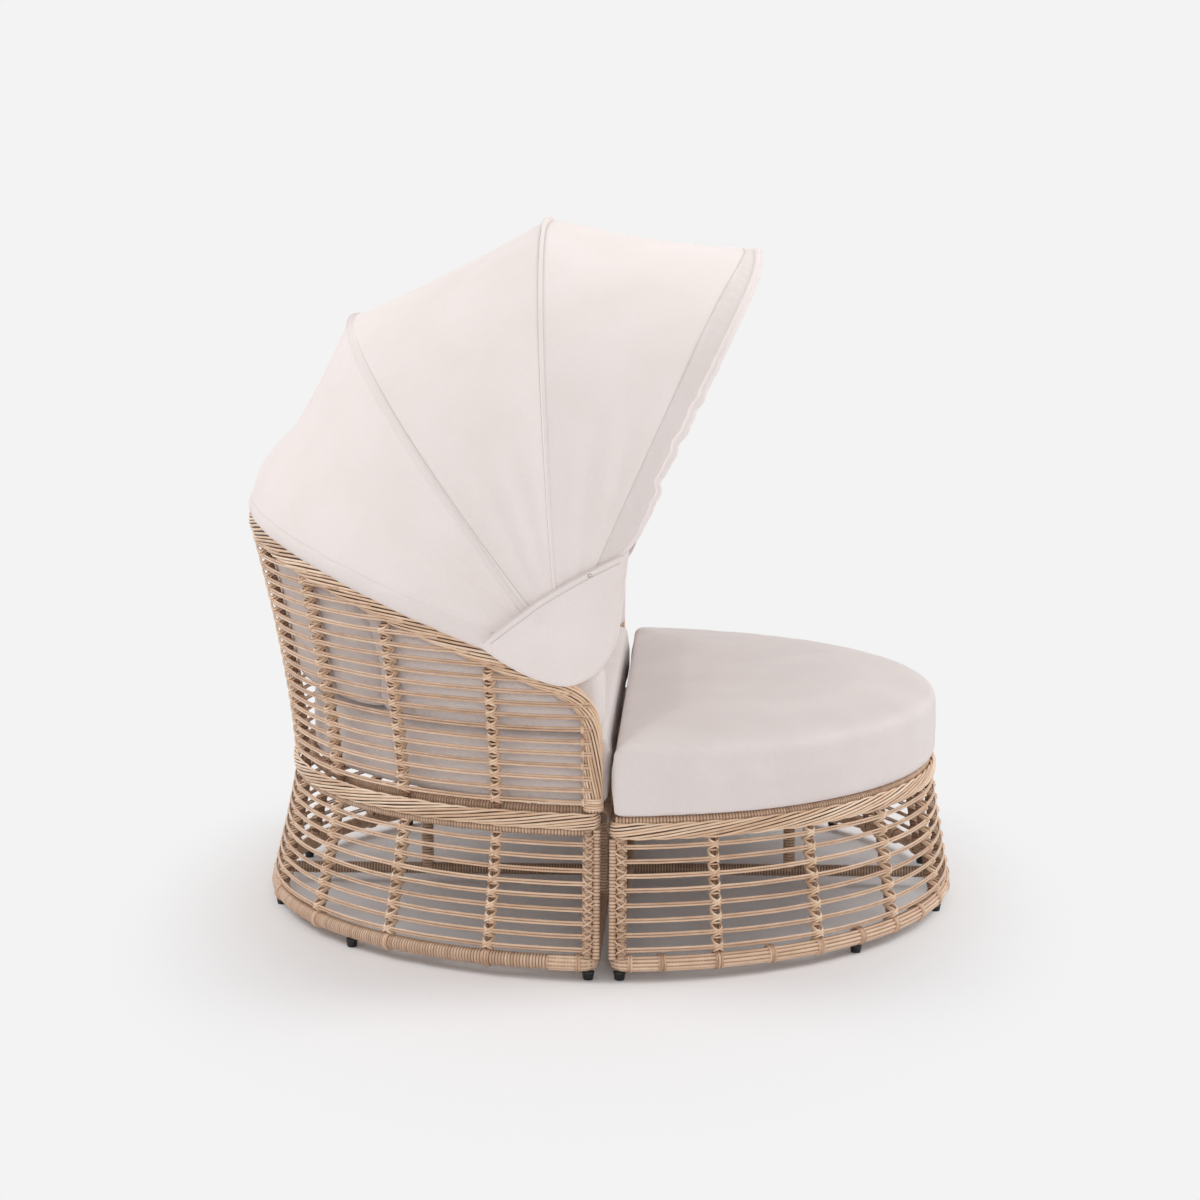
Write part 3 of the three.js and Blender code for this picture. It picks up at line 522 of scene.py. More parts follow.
CANE = cane_paint("cane", colour(184, 147, 118), colour(216, 182, 153), colour(236, 207, 180), 0.4)
BRAID = cane_paint("braid", colour(196, 158, 126), colour(232, 200, 170), colour(247, 224, 200), 0.4)
WRAP = cane_paint("wrap", colour(172, 136, 109), colour(212, 178, 150), colour(236, 208, 182), 0.45)
CORE = cane_paint("core", colour(124, 90, 68), colour(164, 126, 100), colour(194, 158, 130), 0.55)
CANOPY = weave_paint("canopy_cloth", colour(239, 229, 225), colour(246, 237, 234), 420, 0.85, 0.15)
CUSHION = weave_paint("cushion_cloth", colour(226, 217, 214), colour(234, 226, 223), 330, 0.9, 0.2)
PIPING = weave_paint("piping_cloth", colour(240, 229, 225), colour(247, 238, 235), 600, 0.8, 0.2)
FOOT = plastic_paint("foot_plastic", colour(22, 22, 25), 0.38)
METAL = metal_paint("bow_metal", colour(196, 192, 186), 0.3)


# Woven members


def wrapped(weave, path, out, diameter, sides=10, pitch=WRAP_PITCH, groove=2, width=None, fine=True,
            least_darkening=0.0):
    """A bar wound closely with cane: a ridge to each turn, with painted shade in the groove between turns.
    """
    run = distances(path)
    turns = max(round(run[-1] / pitch), 2)
    shares = ROUND_TURN_SHARES if fine else PLAIN_TURN_SHARES
    places, depths = zip(*shares)
    spots = ((np.arange(turns)[:, None] + places) * run[-1] / turns).ravel()
    deep = np.tile(depths, turns)
    thick, wide = (size - 2 * groove * deep for size in (diameter, width or diameter))
    tint = np.repeat(0.3 + 0.4 * weave.random.random(turns), len(shares) * sides)
    # painted shade in the grooves; the whole bar is darkened by at least the given floor
    gap = np.repeat(np.maximum(deep**2, least_darkening), sides)
    path, out = points_at(spots, run, path), points_at(spots, run, out)
    weave.bar(tube(path, out, thick, wide, sides), tint, gap=gap)


def wobble(random, run, size, wave):
    """A smooth random wander along a run."""
    total = 0 * run
    for factor in (1, 2.3, 4.1):
        total = total + np.sin(run * 2 * math.pi * factor / wave + random.random() * 6.28) / factor
    return total * size / 1.4


def oval_turns(shares, depth, width):
    """Angles on an oval that part its edge into these shares."""
    turns = np.linspace(0, 2 * math.pi, 241)
    run = distances(np.stack([depth * np.cos(turns), width * np.sin(turns)], 1))
    whole = np.floor(shares)
    return np.interp(shares - whole, run / run[-1], turns) + 2 * math.pi * whole


def strands(weave, path, out, depth, width, count, diameter, step):
    """Strands that turn slowly round an oval core, mirrored about the middle of the path."""
    path, out, run = resample(path, out, step)
    outwards, sideways = frames(path, out)
    width = spread(width, len(path))
    lay = np.abs(run - 0.5 * run[-1]) / STRAND_LAY
    for k in range(count):
        share = k / count + lay + wobble(weave.random, run, size=0.009, wave=420)
        turn = oval_turns(share, depth - diameter, float(np.mean(width)) - diameter)
        lift = wobble(weave.random, run, size=0.9, wave=300)
        deep, wide = (0.5 * (whole - diameter) + lift for whole in (depth, width))
        thick = diameter * (0.88 + 0.24 * weave.random.random())
        weave.bar(tube(path + spokes(outwards, sideways, turn, deep, wide), out, thick, thick, 6))


def band(weave, centre, along, out, depth, width, turns, diameter, around, sides=6):
    """Turns of cane side by side round a bar."""
    along = unit(np.asarray(along, float))
    outwards = unit(out - along * np.dot(out, along))
    spoke = spokes(outwards, np.cross(along, outwards), circle(around), 0.5 * depth, 0.5 * width)
    for k in range(turns):
        middle = centre + along * (k - 0.5 * (turns - 1)) * diameter * 1.02
        weave.bar(tube(middle + spoke, unit(spoke), diameter, diameter, sides, looped=True), looped=True)


def cross_lash(weave, centre, out, up, radius, lift, rise, diameter, offsets=(0,)):
    """Strands that cross over a cane and go round behind its stake."""
    turn = np.linspace(-2.5, 2.5, 11)
    over = np.cos(np.clip(turn, -QUARTER, QUARTER)) ** 2
    spoke = spokes(out, np.cross(up, out), turn)
    for k, slope in enumerate((-1, 1)):
        for offset in offsets:
            reach = radius + (lift + 1.3 * k) * over
            height = offset + rise * slope * np.clip(turn / QUARTER, -1, 1)
            path = centre + spoke * reach[:, None] + up * height[:, None]
            weave.bar(tube(path, spoke, diameter * 0.75, diameter, 6))


def arc(section, z, inset, start, steps=160):
    angle = np.linspace(start, math.pi - start, steps + 1)
    return section.at(angle, z, inset), section.out(angle)


def hooked(section, z, inset, edge, corner, tail):
    """A line round a section whose two ends turn in along the split line."""
    start = section.angle_at(0.5 * HALVES_GAP + edge + corner, z, inset)
    path, out = arc(section, z, inset, start)
    turn = np.linspace(0, QUARTER, 9)[1:]
    spoke = np.stack([-np.cos(turn), -section.side * np.sin(turn), 0 * turn], 1)
    bend = path[0] + [corner, 0, 0] + corner * spoke
    left = np.concatenate([bend, [bend[-1] + [tail, 0, 0]]])
    left_out = np.concatenate([spoke, spoke[-1:]])
    path = np.concatenate([left[::-1], path, left * MIRROR])
    return path, np.concatenate([left_out[::-1], out, left_out * MIRROR])


def straight(a, b, out=UP):
    return np.array([a, b], float), np.array([out, out], float)


# Bases


def ring_ends(ring, path, out, parts):
    """Strands laid lengthwise over parts of the floor ring."""
    outwards, sideways = frames(path, out)
    for part in parts:
        for degrees in (-62, -31, 0, 31, 62):
            turn = math.radians(degrees)
            spoke = outwards * math.cos(turn) + sideways * math.sin(turn)
            centre = path + spoke * (RING_RADIUS - 1.6)
            rings = tube(centre[part], spoke[part], END_STRAND_DIAMETER, END_STRAND_DIAMETER, 8)
            ring.bar(rings, 0.7 + 0.3 * ring.random.random())


def floor_ring(section):
    body, sofa = section.name, section is SOFA
    ring = Weave(11)
    path, out = hooked(section, RING_CENTRE, RING_RADIUS, edge=17, corner=16, tail=4)
    wrapped(ring, path, out, RING_DIAMETER if sofa else RING_DIAMETER - 4, 16)
    path, out, _ = resample(path, out, 12)
    ring_ends(ring, path, out, [slice(0, 9), slice(-9, None)] if sofa else [slice(None)])
    angles = np.arange(1, 2 * BAYS) * math.pi / (2 * BAYS)
    corner = section.angle_at(SPLIT_LASHING, RING_CENTRE, RING_RADIUS)
    for angle in (corner, *(angles[1::2] if sofa else angles), math.pi - corner):
        out = section.out(angle)
        turns = 2 if angle in (corner, math.pi - corner) else 3
        size = RING_DIAMETER + 2
        band(ring, section.at(angle, RING_CENTRE, RING_RADIUS), np.array([-out[1], out[0], 0]), out,
             size, size, turns, diameter=5.2, around=24)
    piece = ring.make(body + "_ring_wrap", WRAP, body)
    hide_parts(body + "_floor_ring")
    bars = Weave(12)
    chord_y = section.side * 0.5 * (HALVES_GAP + CHORD_DIAMETER)
    end = RING_HALF_WIDTH - 1.5 * RING_DIAMETER
    reach = section.side * (RING_HALF_WIDTH * section.depth_share - RING_RADIUS)
    level = RING_CENTRE - STRETCHER_DROP[section]
    for line in (straight((-end, chord_y, RING_CENTRE), (end, chord_y, RING_CENTRE)),
                 straight((0, chord_y, level), (0, reach, level))):
        wrapped(bars, *line, CHORD_DIAMETER, fine=False)
    bars.make(body + "_chord_wrap", WRAP, body)


def stake_top(angle):
    folded = min(angle, math.pi - angle)
    return DECK if folded < 0.5 * math.pi / BAYS else rim_height(folded) - 10


def seat_frame(section, deck, leg_y):
    body, sofa = section.name, section is SOFA
    stakes = Weave(21)
    for angle in section.stake_angles + [section.post_angle, math.pi - section.post_angle]:
        z = np.linspace(RING_TOP - 8, stake_top(angle) if sofa else deck, 24)
        out = np.tile(section.out(angle), (len(z), 1))
        wrapped(stakes, section.at(angle, z, STAKE_INSET), out, STAKE_DIAMETER, 8, pitch=5.2, groove=1.1)
    piece = stakes.make(body + "_stakes", CORE, body)
    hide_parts(body + "_frame")
    bars = Weave(22)
    level = deck - 0.5 * RAIL_DIAMETER
    edge = 0.5 * (HALVES_GAP + RAIL_DIAMETER)
    start = section.angle_at(edge, level, SEAT_RING_INSET)
    wrapped(bars, *arc(section, level, SEAT_RING_INSET, start), RAIL_DIAMETER, 12)
    chord_y = section.side * edge
    width = float(section.half_width(level)) - SEAT_RING_INSET
    depth = float(section.half_width(level)) * section.depth_share - SEAT_RING_INSET
    lines = [straight((-width, chord_y, level), (width, chord_y, level))]
    for x in BAR_PITCH * np.arange(-2, 3):
        end = section.side * depth * math.sqrt(1 - (x / width) ** 2)
        lines.append(straight((x, chord_y, level), (x, end, level)))
    for line in lines:
        wrapped(bars, *line, RAIL_DIAMETER, fine=False)
    foot = RING_CENTRE - STRETCHER_DROP[section]
    if sofa:
        for x in (-BAR_PITCH, BAR_PITCH):
            leg = straight((x, FRONT_LEG_Y, foot), (x, FRONT_LEG_Y, level), (1, 0, 0))
            wrapped(bars, *leg, FRONT_LEG_DIAMETER)
        low = level - FRONT_RAIL_DROP
        rail = straight((-width, FRONT_RAIL_Y, low), (width, FRONT_RAIL_Y, low))
        wrapped(bars, *rail, FRONT_RAIL_DIAMETER)
    wrapped(bars, *straight((0, leg_y, foot), (0, leg_y, level), (1, 0, 0)), CHORD_DIAMETER)
    bars.make(body + "_seat_bars", WRAP, body)


def cane_row(weave, section, z, start):
    """A pair of canes side by side, which wander a little up and down."""
    path, out = arc(section, z, 0.5 * CANE_DIAMETER, start, 110)
    run = np.linspace(0, 2300, len(path))
    sway = wobble(weave.random, run, size=0.8, wave=700)
    for k in (-0.56, 0.56):
        height = sway + k * CANE_DIAMETER + wobble(weave.random, run, size=0.22, wave=260)
        weave.bar(tube(path + UP * height[:, None], out, CANE_DIAMETER, CANE_DIAMETER, 8))


def lash_stakes(weave, section, heights, starts):
    """Crossed lashings where the canes pass the stakes, and a turn of cane between them."""
    pitch = heights[1] - heights[0]
    for z, start in zip(heights, starts):
        for angle in section.stake_angles:
            if start < angle < math.pi - start:
                out, up = section.out(angle), section.lean(angle, z, STAKE_INSET)
                cross_lash(weave, section.at(angle, z, STAKE_INSET), out, up, radius=8.8, lift=9.6,
                           rise=0.47 * pitch, diameter=4.8, offsets=(-2.7, 2.7))
                between = section.at(angle, z + 0.5 * pitch, STAKE_INSET)
                band(weave, between, up, out, depth=21, width=19, turns=1, diameter=4.4, around=14)


def end_posts(weave, section):
    """Each post: a wound bar beside the split, and a second one that the canes are lashed to."""
    bottom, top = RING_TOP - 6, section.rim_bottom + 2
    for mirror in (False, True):
        # the second bar is drawn darker all over
        for offset, thick, least_darkening in ((16.2, 15.5, 0), (33.5, 17, 0.4)):
            z = np.linspace(bottom, top, 24)
            angle = np.arcsin(offset / (section.half_width(z) * section.depth_share))
            angle = math.pi - angle if mirror else angle
            wrapped(weave, section.at(angle, z, 4.5), section.out(angle), 14, 12, pitch=6.8, groove=1.7,
                    width=thick, least_darkening=least_darkening)
        for z in section.row_heights:
            for rise, offset, shift in ((11, 33, 0), (-9, 30, 12)):
                angle = section.angle_at(offset, z + shift, 0)
                angle = math.pi - angle if mirror else angle
                cross_lash(weave, section.at(angle, z + shift, 8), section.out(angle),
                           section.lean(angle, z + shift, 8), radius=10, lift=1.6, rise=rise, diameter=4.4)


def base_canes(section):
    canes = Weave(31)
    for z in section.row_heights:
        cane_row(canes, section, z, section.post_angle)
    piece = canes.make(section.name + "_canes_round", CANE, section.name)
    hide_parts("sofa_base_canes" if section is SOFA else "footstool_canes")
    lashes = Weave(32)
    lash_stakes(lashes, section, section.row_heights, [section.post_angle] * len(section.row_heights))
    lashes.make(section.name + "_lashings", BRAID, section.name)
    posts = Weave(33)
    end_posts(posts, section)
    posts.make(section.name + "_posts", WRAP, section.name)


def base_rim(section):
    braid = Weave(41)
    z = section.rim_bottom + 0.5 * RIM_HEIGHT
    path, out = hooked(section, z, 1.5, edge=7, corner=14, tail=14)
    strands(braid, path, out, RIM_DEPTH, RIM_HEIGHT, count=10, diameter=5.1, step=14)
    piece = braid.make(section.name + "_rim_braid", BRAID, section.name)
    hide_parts("sofa_base_rim" if section is SOFA else "footstool_rim")
    core = Weave(42)
    path, out, _ = resample(path, out, 24)
    # the core is painted fully in shade, so the gaps between strands show dark
    core.bar(tube(path, out, RIM_DEPTH - CORE_DEPTH, RIM_HEIGHT - CORE_DEPTH, 10), gap=1)
    core.make(section.name + "_rim_core", CORE, section.name)


def rim_rail(section, level, inset, edge, diameter):
    """A toothed rail, which lies inside the rim under the cushion's edge."""
    rail = Weave(43)
    path, out = arc(section, level, inset, section.angle_at(edge, level, inset))
    wrapped(rail, path, out, diameter, 12, pitch=6.6)
    rail.make(section.name + "_rim_rail", WRAP, section.name)


# Arm and back rim


ARM_ANGLE = SOFA.post_angle


def rim_height(angle):
    folded = np.minimum(angle, math.pi - angle)
    share = np.clip((folded - ARM_ANGLE) / (QUARTER - ARM_ANGLE), 0, 1)
    return ARM_HEIGHT + BACK_RISE * np.sin(QUARTER * share)


def rim_angle_at(z):
    climb = (z - ARM_HEIGHT) / BACK_RISE
    if climb <= 0:
        return ARM_ANGLE
    return ARM_ANGLE + math.asin(min(climb, 1)) * (QUARTER - ARM_ANGLE) / QUARTER


def rim_line():
    """The rim's centre line from the left arm's foot round the back to the right one's."""
    end = ARM_ANGLE + ARM_CORNER / SOFA.waist
    z = np.linspace(DECK - 6, ARM_HEIGHT - ARM_CORNER, 20)
    t = np.linspace(0, 1, 16)[1:]
    p, q, r = (1 - t) ** 2, 2 * t * (1 - t), t**2
    slope = np.linspace(end, QUARTER, 90)[1:]
    angle = np.concatenate([np.full(20, ARM_ANGLE), ARM_ANGLE * (p + q) + end * r, slope])
    corner = (ARM_HEIGHT - ARM_CORNER) * p + ARM_HEIGHT * q + float(rim_height(end)) * r
    height = np.concatenate([z, corner, rim_height(slope)])
    left, out = SOFA.at(angle, height, 0.5 * RIM_BAR_DEPTH), SOFA.out(angle)
    share = np.maximum((height - ARM_HEIGHT) / BACK_RISE, 0)
    width = ARM_RIM_WIDTH + (BACK_RIM_WIDTH - ARM_RIM_WIDTH) * share
    path = np.concatenate([left, left[-2::-1] * MIRROR])
    return path, np.concatenate([out, out[-2::-1] * MIRROR]), np.concatenate([width, width[-2::-1]])


def back_rim():
    path, out, width = rim_line()
    run = distances(path)
    width = np.interp(np.linspace(0, run[-1], 200), run, width)
    braid = Weave(51)
    strands(braid, path, out, RIM_BAR_DEPTH, width, count=15, diameter=5.2, step=12)
    piece = braid.make("back_rim_braid", BRAID, "sofa")
    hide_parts("back_weave")
    core = Weave(52)
    path, out, _ = resample(path, out, 20)
    # the core is painted fully in shade, so the gaps between strands show dark
    core.bar(tube(path, out, RIM_BAR_DEPTH - CORE_DEPTH, spread(width, len(path)) - CORE_DEPTH, 10), gap=1)
    core.make("back_rim_core", CORE, "sofa")


def back_canes():
    heights = np.arange(BACK_FIRST_ROW, BACK_ROWS_END, BACK_ROW_PITCH)
    canes = Weave(53)
    for z in heights:
        cane_row(canes, SOFA, z, rim_angle_at(z))
    canes.make("back_canes_round", CANE, "sofa")
    lashes = Weave(54)
    lash_stakes(lashes, SOFA, heights, [rim_angle_at(z + 22) for z in heights])
    for angle in (ARM_ANGLE, math.pi - ARM_ANGLE):
        collar = SOFA.at(angle, DECK + 9, 0.5 * RIM_BAR_DEPTH)
        band(lashes, collar, UP, SOFA.out(angle), depth=33, width=37, turns=5, diameter=4.8, around=28)
        for z in heights[heights < ARM_HEIGHT - 0.6 * ARM_CORNER]:
            edge = SOFA.angle_at(EDGE_LASHING, z, 0.5 * CANE_DIAMETER)
            edge = edge if angle < 1 else math.pi - edge
            out = SOFA.out(edge)
            band(lashes, SOFA.at(edge, z, 0.5 * CANE_DIAMETER + 1), np.cross(out, UP), out, depth=9,
                 width=14, turns=2, diameter=2.8, around=12, sides=5)
    lashes.make("back_lashings", BRAID, "sofa")


# Feet


def turned(weave, profile, centre, axis, sides=28):
    """A body of revolution: profile of (radius, distance along the axis)."""
    side = unit(np.cross(axis, (0, 1, 0)))
    spoke = spokes(side, np.cross(side, axis), circle(sides), width=-1)
    weave.bar(np.array([centre + axis * z + spoke * r for r, z in profile]), 0.5)


def feet(section):
    angles = [math.radians(a) for a in FOOT_DEGREES]
    angles += [math.pi - a for a in reversed(angles)]
    for number, angle in enumerate(angles, 1):
        x = -(RING_HALF_WIDTH - RING_RADIUS) * math.cos(angle)
        depth = (RING_HALF_WIDTH * section.depth_share - RING_RADIUS) * math.sin(angle)
        spot = np.array([x, section.side * max(depth, 0.5 * HALVES_GAP + 12), 0])
        foot = Weave()
        turned(foot, FOOT_PROFILE, spot, UP)
        name = f"{section.name}_foot_{number}"
        piece = foot.make(name + "_turned", FOOT, section.name)
        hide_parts(name)


# Cushions


def settle(piece):
    """Makes what a piece's modifiers show its own mesh."""
    graph = bpy.context.evaluated_depsgraph_get()
    mesh = bpy.data.meshes.new_from_object(piece.evaluated_get(graph), depsgraph=graph)
    piece.modifiers.clear()
    piece.data = mesh


def vertices(piece):
    points = np.empty(3 * len(piece.data.vertices), np.float32)
    piece.data.vertices.foreach_get("co", points)
    return points.reshape(-1, 3)


def soften(piece, voxel, cap, pressure, low, face=None):
    """Swells a stuffed piece as cloth under pressure and rounds it.

    Lengths here are in metres. No point moves further than cap, below low, or past a face at the
    split line: its place and the way out of it.
    """
    remesh = piece.modifiers.new("remesh", "REMESH")
    remesh.mode = "VOXEL"
    remesh.voxel_size = voxel
    settle(piece)
    before = vertices(piece)
    cloth = piece.modifiers.new("cloth", "CLOTH")
    cloth.settings.use_pressure = True
    cloth.settings.uniform_pressure_force = pressure
    cloth.settings.effector_weights.gravity = 0
    cloth.settings.quality = 4
    for number in range(1, 16):
        bpy.context.scene.frame_set(number)
    settle(piece)
    bpy.context.scene.frame_set(1)
    move = vertices(piece) - before
    move *= np.minimum(1, cap / np.maximum(np.linalg.norm(move, axis=1, keepdims=True), 1e-9))
    points = before + move
    points[:, 2] = np.maximum(points[:, 2], low)
    if face:
        place, side = face
        points[:, 1] = side * np.maximum(side * points[:, 1], side * place)
    piece.data.vertices.foreach_set("co", points.astype(np.float32).ravel())
    subdivision = piece.modifiers.new("round", "SUBSURF")
    subdivision.levels = subdivision.render_levels = 1
    settle(piece)
    for polygon in piece.data.polygons:
        polygon.use_smooth = True


def half_round(width, depth, y0, side, inset):
    """Outline of a half-round cushion, its corners rounded; its flat face keeps 0.4 of the inset."""
    a, b, face = width - inset, depth - inset, 0.4 * inset
    turn = np.linspace(0, math.pi, 200)
    curve = np.stack([-a * np.cos(turn), np.maximum(b * np.sin(turn), face)], 1)
    front = np.linspace(1, -1, 121)[1:-1]
    loop = np.concatenate([curve, np.stack([a * front, face + 0 * front], 1)])
    closed = np.concatenate([loop, loop[:1]])
    run = distances(closed)
    count = 300
    loop = points_at(np.arange(count) * run[-1] / count, run, closed)
    offsets = np.arange(-8, 9)
    weights = np.exp(-0.5 * (offsets / (7 * count / run[-1])) ** 2)
    loop = sum(np.roll(loop, o, 0) * w for o, w in zip(offsets, weights)) / weights.sum()
    return np.stack([loop[:, 0], y0 + side * loop[:, 1]], 1)


def seat_cushion(name, body, side, width, depth, y0, bottom, thickness, crown):
    rings = []
    turn = np.linspace(0, QUARTER, 6)
    radius = 0.5 * CUSHION_EDGE
    round_edge = [(radius * (1 - math.sin(t)), radius * (1 - math.cos(t))) for t in turn]
    walls = round_edge + [(0, thickness * 0.35), (-1.5, thickness * 0.5), (0, thickness * 0.65)]
    walls += [(2 * inset, thickness - 2 * z) for inset, z in reversed(round_edge)]
    for inset, z in walls:
        loop = half_round(width, depth, y0, side, CUSHION_SHRINK + inset)
        rings.append(np.column_stack([loop, np.full(len(loop), bottom + z)]))
    middle = np.array([0, y0 + side * 0.45 * depth, 0])
    base, top = rings[0], rings[-1]
    for size in (0.95, 0.88, 0.76, 0.6, 0.4, 0.2, 0.05):
        ring = middle + (top - middle) * size
        ring[:, 2] = bottom + thickness + crown * smooth((1 - size) / 0.5)
        rings.append(ring)
    for size in (0.7, 0.35, 0.05):
        ring = middle + (base - middle) * size
        ring[:, 2] = bottom
        rings.insert(0, ring)
    rings = np.array(rings)
    cushion = Weave()
    cushion.bar(rings[:, ::-1] if side > 0 else rings, 0.5)
    piece = cushion.make(name + "_soft", CUSHION, None)
    face = (y0 + side * 1.6 + SPLIT[1]) * MM
    soften(piece, voxel=0.01, cap=0.007, pressure=3, low=bottom * MM, face=(face, side))
    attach(piece, body)
    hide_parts(name)


def pillow(name, start, end):
    """A cushion that follows the curve of the back between two angles."""
    u, v = np.meshgrid(np.linspace(0, 1, 41), np.linspace(0, 1, 33))
    angle = start + (end - start) * u
    top = rim_height(angle) + PILLOW_RISE
    z = PILLOW_BOTTOM + (top - PILLOW_BOTTOM) * v
    wall = np.minimum(z, top - 2 * PILLOW_RISE)
    fill = ((1 - (2 * u - 1) ** 12) * (1 - np.abs(2 * v - 1) ** np.where(v < 0.5, 20, 8))) ** 0.5
    half = 0.5 * PILLOW_THICKNESS * (0.3 + 0.7 * fill)
    grids = []
    for face in (1, -1):
        grid = SOFA.at(angle, wall, PILLOW_INSET - half * face)
        grid[..., 2] = z
        grids.append(grid[:, ::-1])
    cushion = Weave()
    cushion.sheet(*grids)
    piece = cushion.make(name + "_soft", CUSHION, None)
    soften(piece, voxel=0.009, cap=0.012, pressure=3.5, low=PILLOW_BOTTOM * MM)
    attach(piece, name)
    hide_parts(name)


def cushions():
    seat_cushion("sofa_seat_cushion", "seat_cushion", side=1, width=664, depth=681, y0=-10.5,
                 bottom=330.3, thickness=138, crown=10)
    seat_cushion("footstool_cushion", "footstool_cushion", side=-1, width=724, depth=693, y0=-11,
                 bottom=317, thickness=138, crown=25)
    gap = 0.5 * PILLOW_GAP / SOFA.waist
    share = 0.25 * math.pi
    pillow("left_arm_cushion", 0, share - gap)
    pillow("left_back_cushion", share + gap, 2 * share - gap)
    pillow("right_back_cushion", 2 * share + gap, 3 * share - gap)
    pillow("right_arm_cushion", 3 * share + gap, 4 * share)


# Canopy: a share of a bow is 0 at the left pivot, 1 at the crest and 2 at the right pivot


def to_crest(share):
    """The same share on a bow's left half."""
    return np.minimum(share, 2 - share)


def on_bow(bow, share, margin=0.0):
    """Points of a bow at these shares, with the bow grown outwards by a margin."""
    share = np.asarray(share, float)
    power = 2 / BOW_POWER[bow]
    turn = to_crest(share) * QUARTER
    x = -(BOW_X[bow] + margin) * np.maximum(np.cos(turn), 0) ** power
    reach = (BOW_REACH[bow] + margin) * np.maximum(np.sin(turn), 0) ** power
    y = PIVOT[1] + reach * math.cos(BOW_ANGLE[bow])
    return np.stack([np.where(share > 1, -x, x), y, PIVOT[2] + reach * math.sin(BOW_ANGLE[bow])], -1)


def square_to(angle):
    """Unit vector square to a plane through the hinge line at this angle, towards the front."""
    return np.array([0, -math.sin(angle), math.cos(angle)])


def chord_between(first, second, share):
    """Width of the cloth between two bows."""
    gaps = on_bow(first, share, CLOTH_RISE) - on_bow(second, share, CLOTH_RISE)
    return np.linalg.norm(gaps, axis=1)


def bow_tube(bow, name):
    share = np.concatenate([np.linspace(0.02, 0.2, 10), np.linspace(0.2, 1.8, 90)[1:-1],
                            np.linspace(1.8, 1.98, 10)])
    path = on_bow(bow, share)
    reach = np.linalg.norm(path[:, 1:] - PIVOT[1:], axis=1)
    blend = smooth((reach - STRAP_LENGTH) / STRAP_TAPER)
    flat = 1 - smooth((reach - 60) / 60)
    path[:, 0] += (np.copysign(BOW_X[bow], path[:, 0]) - path[:, 0]) * flat
    depth = STRAP_DEPTH + (BOW_DIAMETER - STRAP_DEPTH) * blend
    width = STRAP_THICKNESS + (BOW_DIAMETER - STRAP_THICKNESS) * blend
    bar = Weave(60 + bow)
    bar.bar(tube(path, square_to(BOW_ANGLE[bow]), depth, width, 14))
    for side in HANDS.values():
        eye = PIVOT + [side * BOW_X[bow] - 0.5 * STRAP_THICKNESS, 0, 0]
        turned(bar, EYE_PROFILE, eye, np.array([1, 0, 0]), 32)
    piece = bar.make(name + "_tube", METAL, BOW_BODY[bow])
    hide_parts(name)


def cloth_margin(folded):
    """How far outside a bow's centre line the cloth's inner face lies."""
    return 4 + 5.6 * smooth((folded - 0.045) / 0.08)


def hem_width(folded):
    """How far the front hem reaches past its bow: less towards the hinge, with scallops near it."""
    low = smooth((0.5 - folded) / 0.35)
    waves = 0.6 * np.sin(folded * 97) + 0.4 * np.sin(folded * 171 + 1)
    width = FRONT_HEM - HEM_ROLL - 9 * smooth((folded - 0.7) / 0.3) + 6 * low * waves
    return width * smooth(folded / 0.06) + 27 * bell(folded, 0.1, 0.055)


def stitch_place(folded):
    """Where the front hem's stitch line runs, past the front bow."""
    return -6 - 18 * smooth((0.97 - folded) / 0.5)


def panel_points(first, second, share, v, grow):
    """Points of the cloth between two bows, at shares of the bows and places across from 0 to 1."""
    folded = to_crest(share)
    margin = cloth_margin(folded) + grow
    a, b = on_bow(first, share, margin), on_bow(second, share, margin)
    across = np.clip(v, 0, 1)
    height = np.sin(folded * QUARTER)
    creases = 2.4 * bell(folded, 0.2, 0.12) * np.sin(19 * v + 5 * folded)
    creases = creases + 0.9 * height * np.sin(7 * v + 9 * folded + 2 * first)
    lift = creases * np.sin(across * math.pi) - 4 * across * (1 - across) * SAG * height
    if first == 0:
        bulge, hollow = np.clip(v / 0.4, 0, 1), np.clip((v - 0.4) / 0.6, 0, 1)
        lift = lift + height * (17 * np.sin(bulge * math.pi) - 3 * np.sin(hollow * math.pi))
    if second == 3:
        past = (v - 1) * np.linalg.norm(b - a, axis=-1)
        start = stitch_place(folded)
        inside = np.clip((past - start) / (hem_width(folded) - start), 0, 1)
        wrinkle = 1.2 * np.sin(folded * 150 + past / 7) - 1
        lift = lift + wrinkle * np.sin(inside * math.pi) * smooth(folded / 0.15)
    point = a + (b - a) * v[..., None]
    return point + unit(point - PIVOT) * lift[..., None]


def canopy_panel(name, first, second, trims):
    steps = np.linspace(0.05, 1.95, 231)
    v = np.tile(np.linspace(0, 1, PANEL_STEPS + 1), (len(steps), 1))
    gap = np.zeros(v.shape)
    if second == 3:
        folded = to_crest(steps)[:, None]
        chord = chord_between(first, second, steps)[:, None]
        v = np.concatenate([v, 1 + np.linspace(0, 1, 7)[1:] * (hem_width(folded) / chord)], 1)
        # painted shade on the hem past its stitch line
        gap = 0.3 * smooth(((v - 1) * chord - stitch_place(folded)) / 4)
    share = np.tile(steps[:, None], (1, v.shape[1]))
    outer, inner = (panel_points(first, second, share, v, grow) for grow in (CLOTH, 0))
    cloth = Weave()
    cloth.sheet(inner[:, ::-1], outer[:, ::-1], gap[:, ::-1])
    piece = cloth.make(name + "_cloth", CANOPY, None)
    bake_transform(piece)
    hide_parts(name)


def sewn(name, body, path, out, depth, width, sides, gap=0.0):
    """A roll, a sleeve or a line of stitching along a path of the canopy's cloth."""
    line = Weave()
    line.bar(tube(path, out, depth, width, sides), 0.5, gap=gap)
    return line.make(name, CANOPY, body)


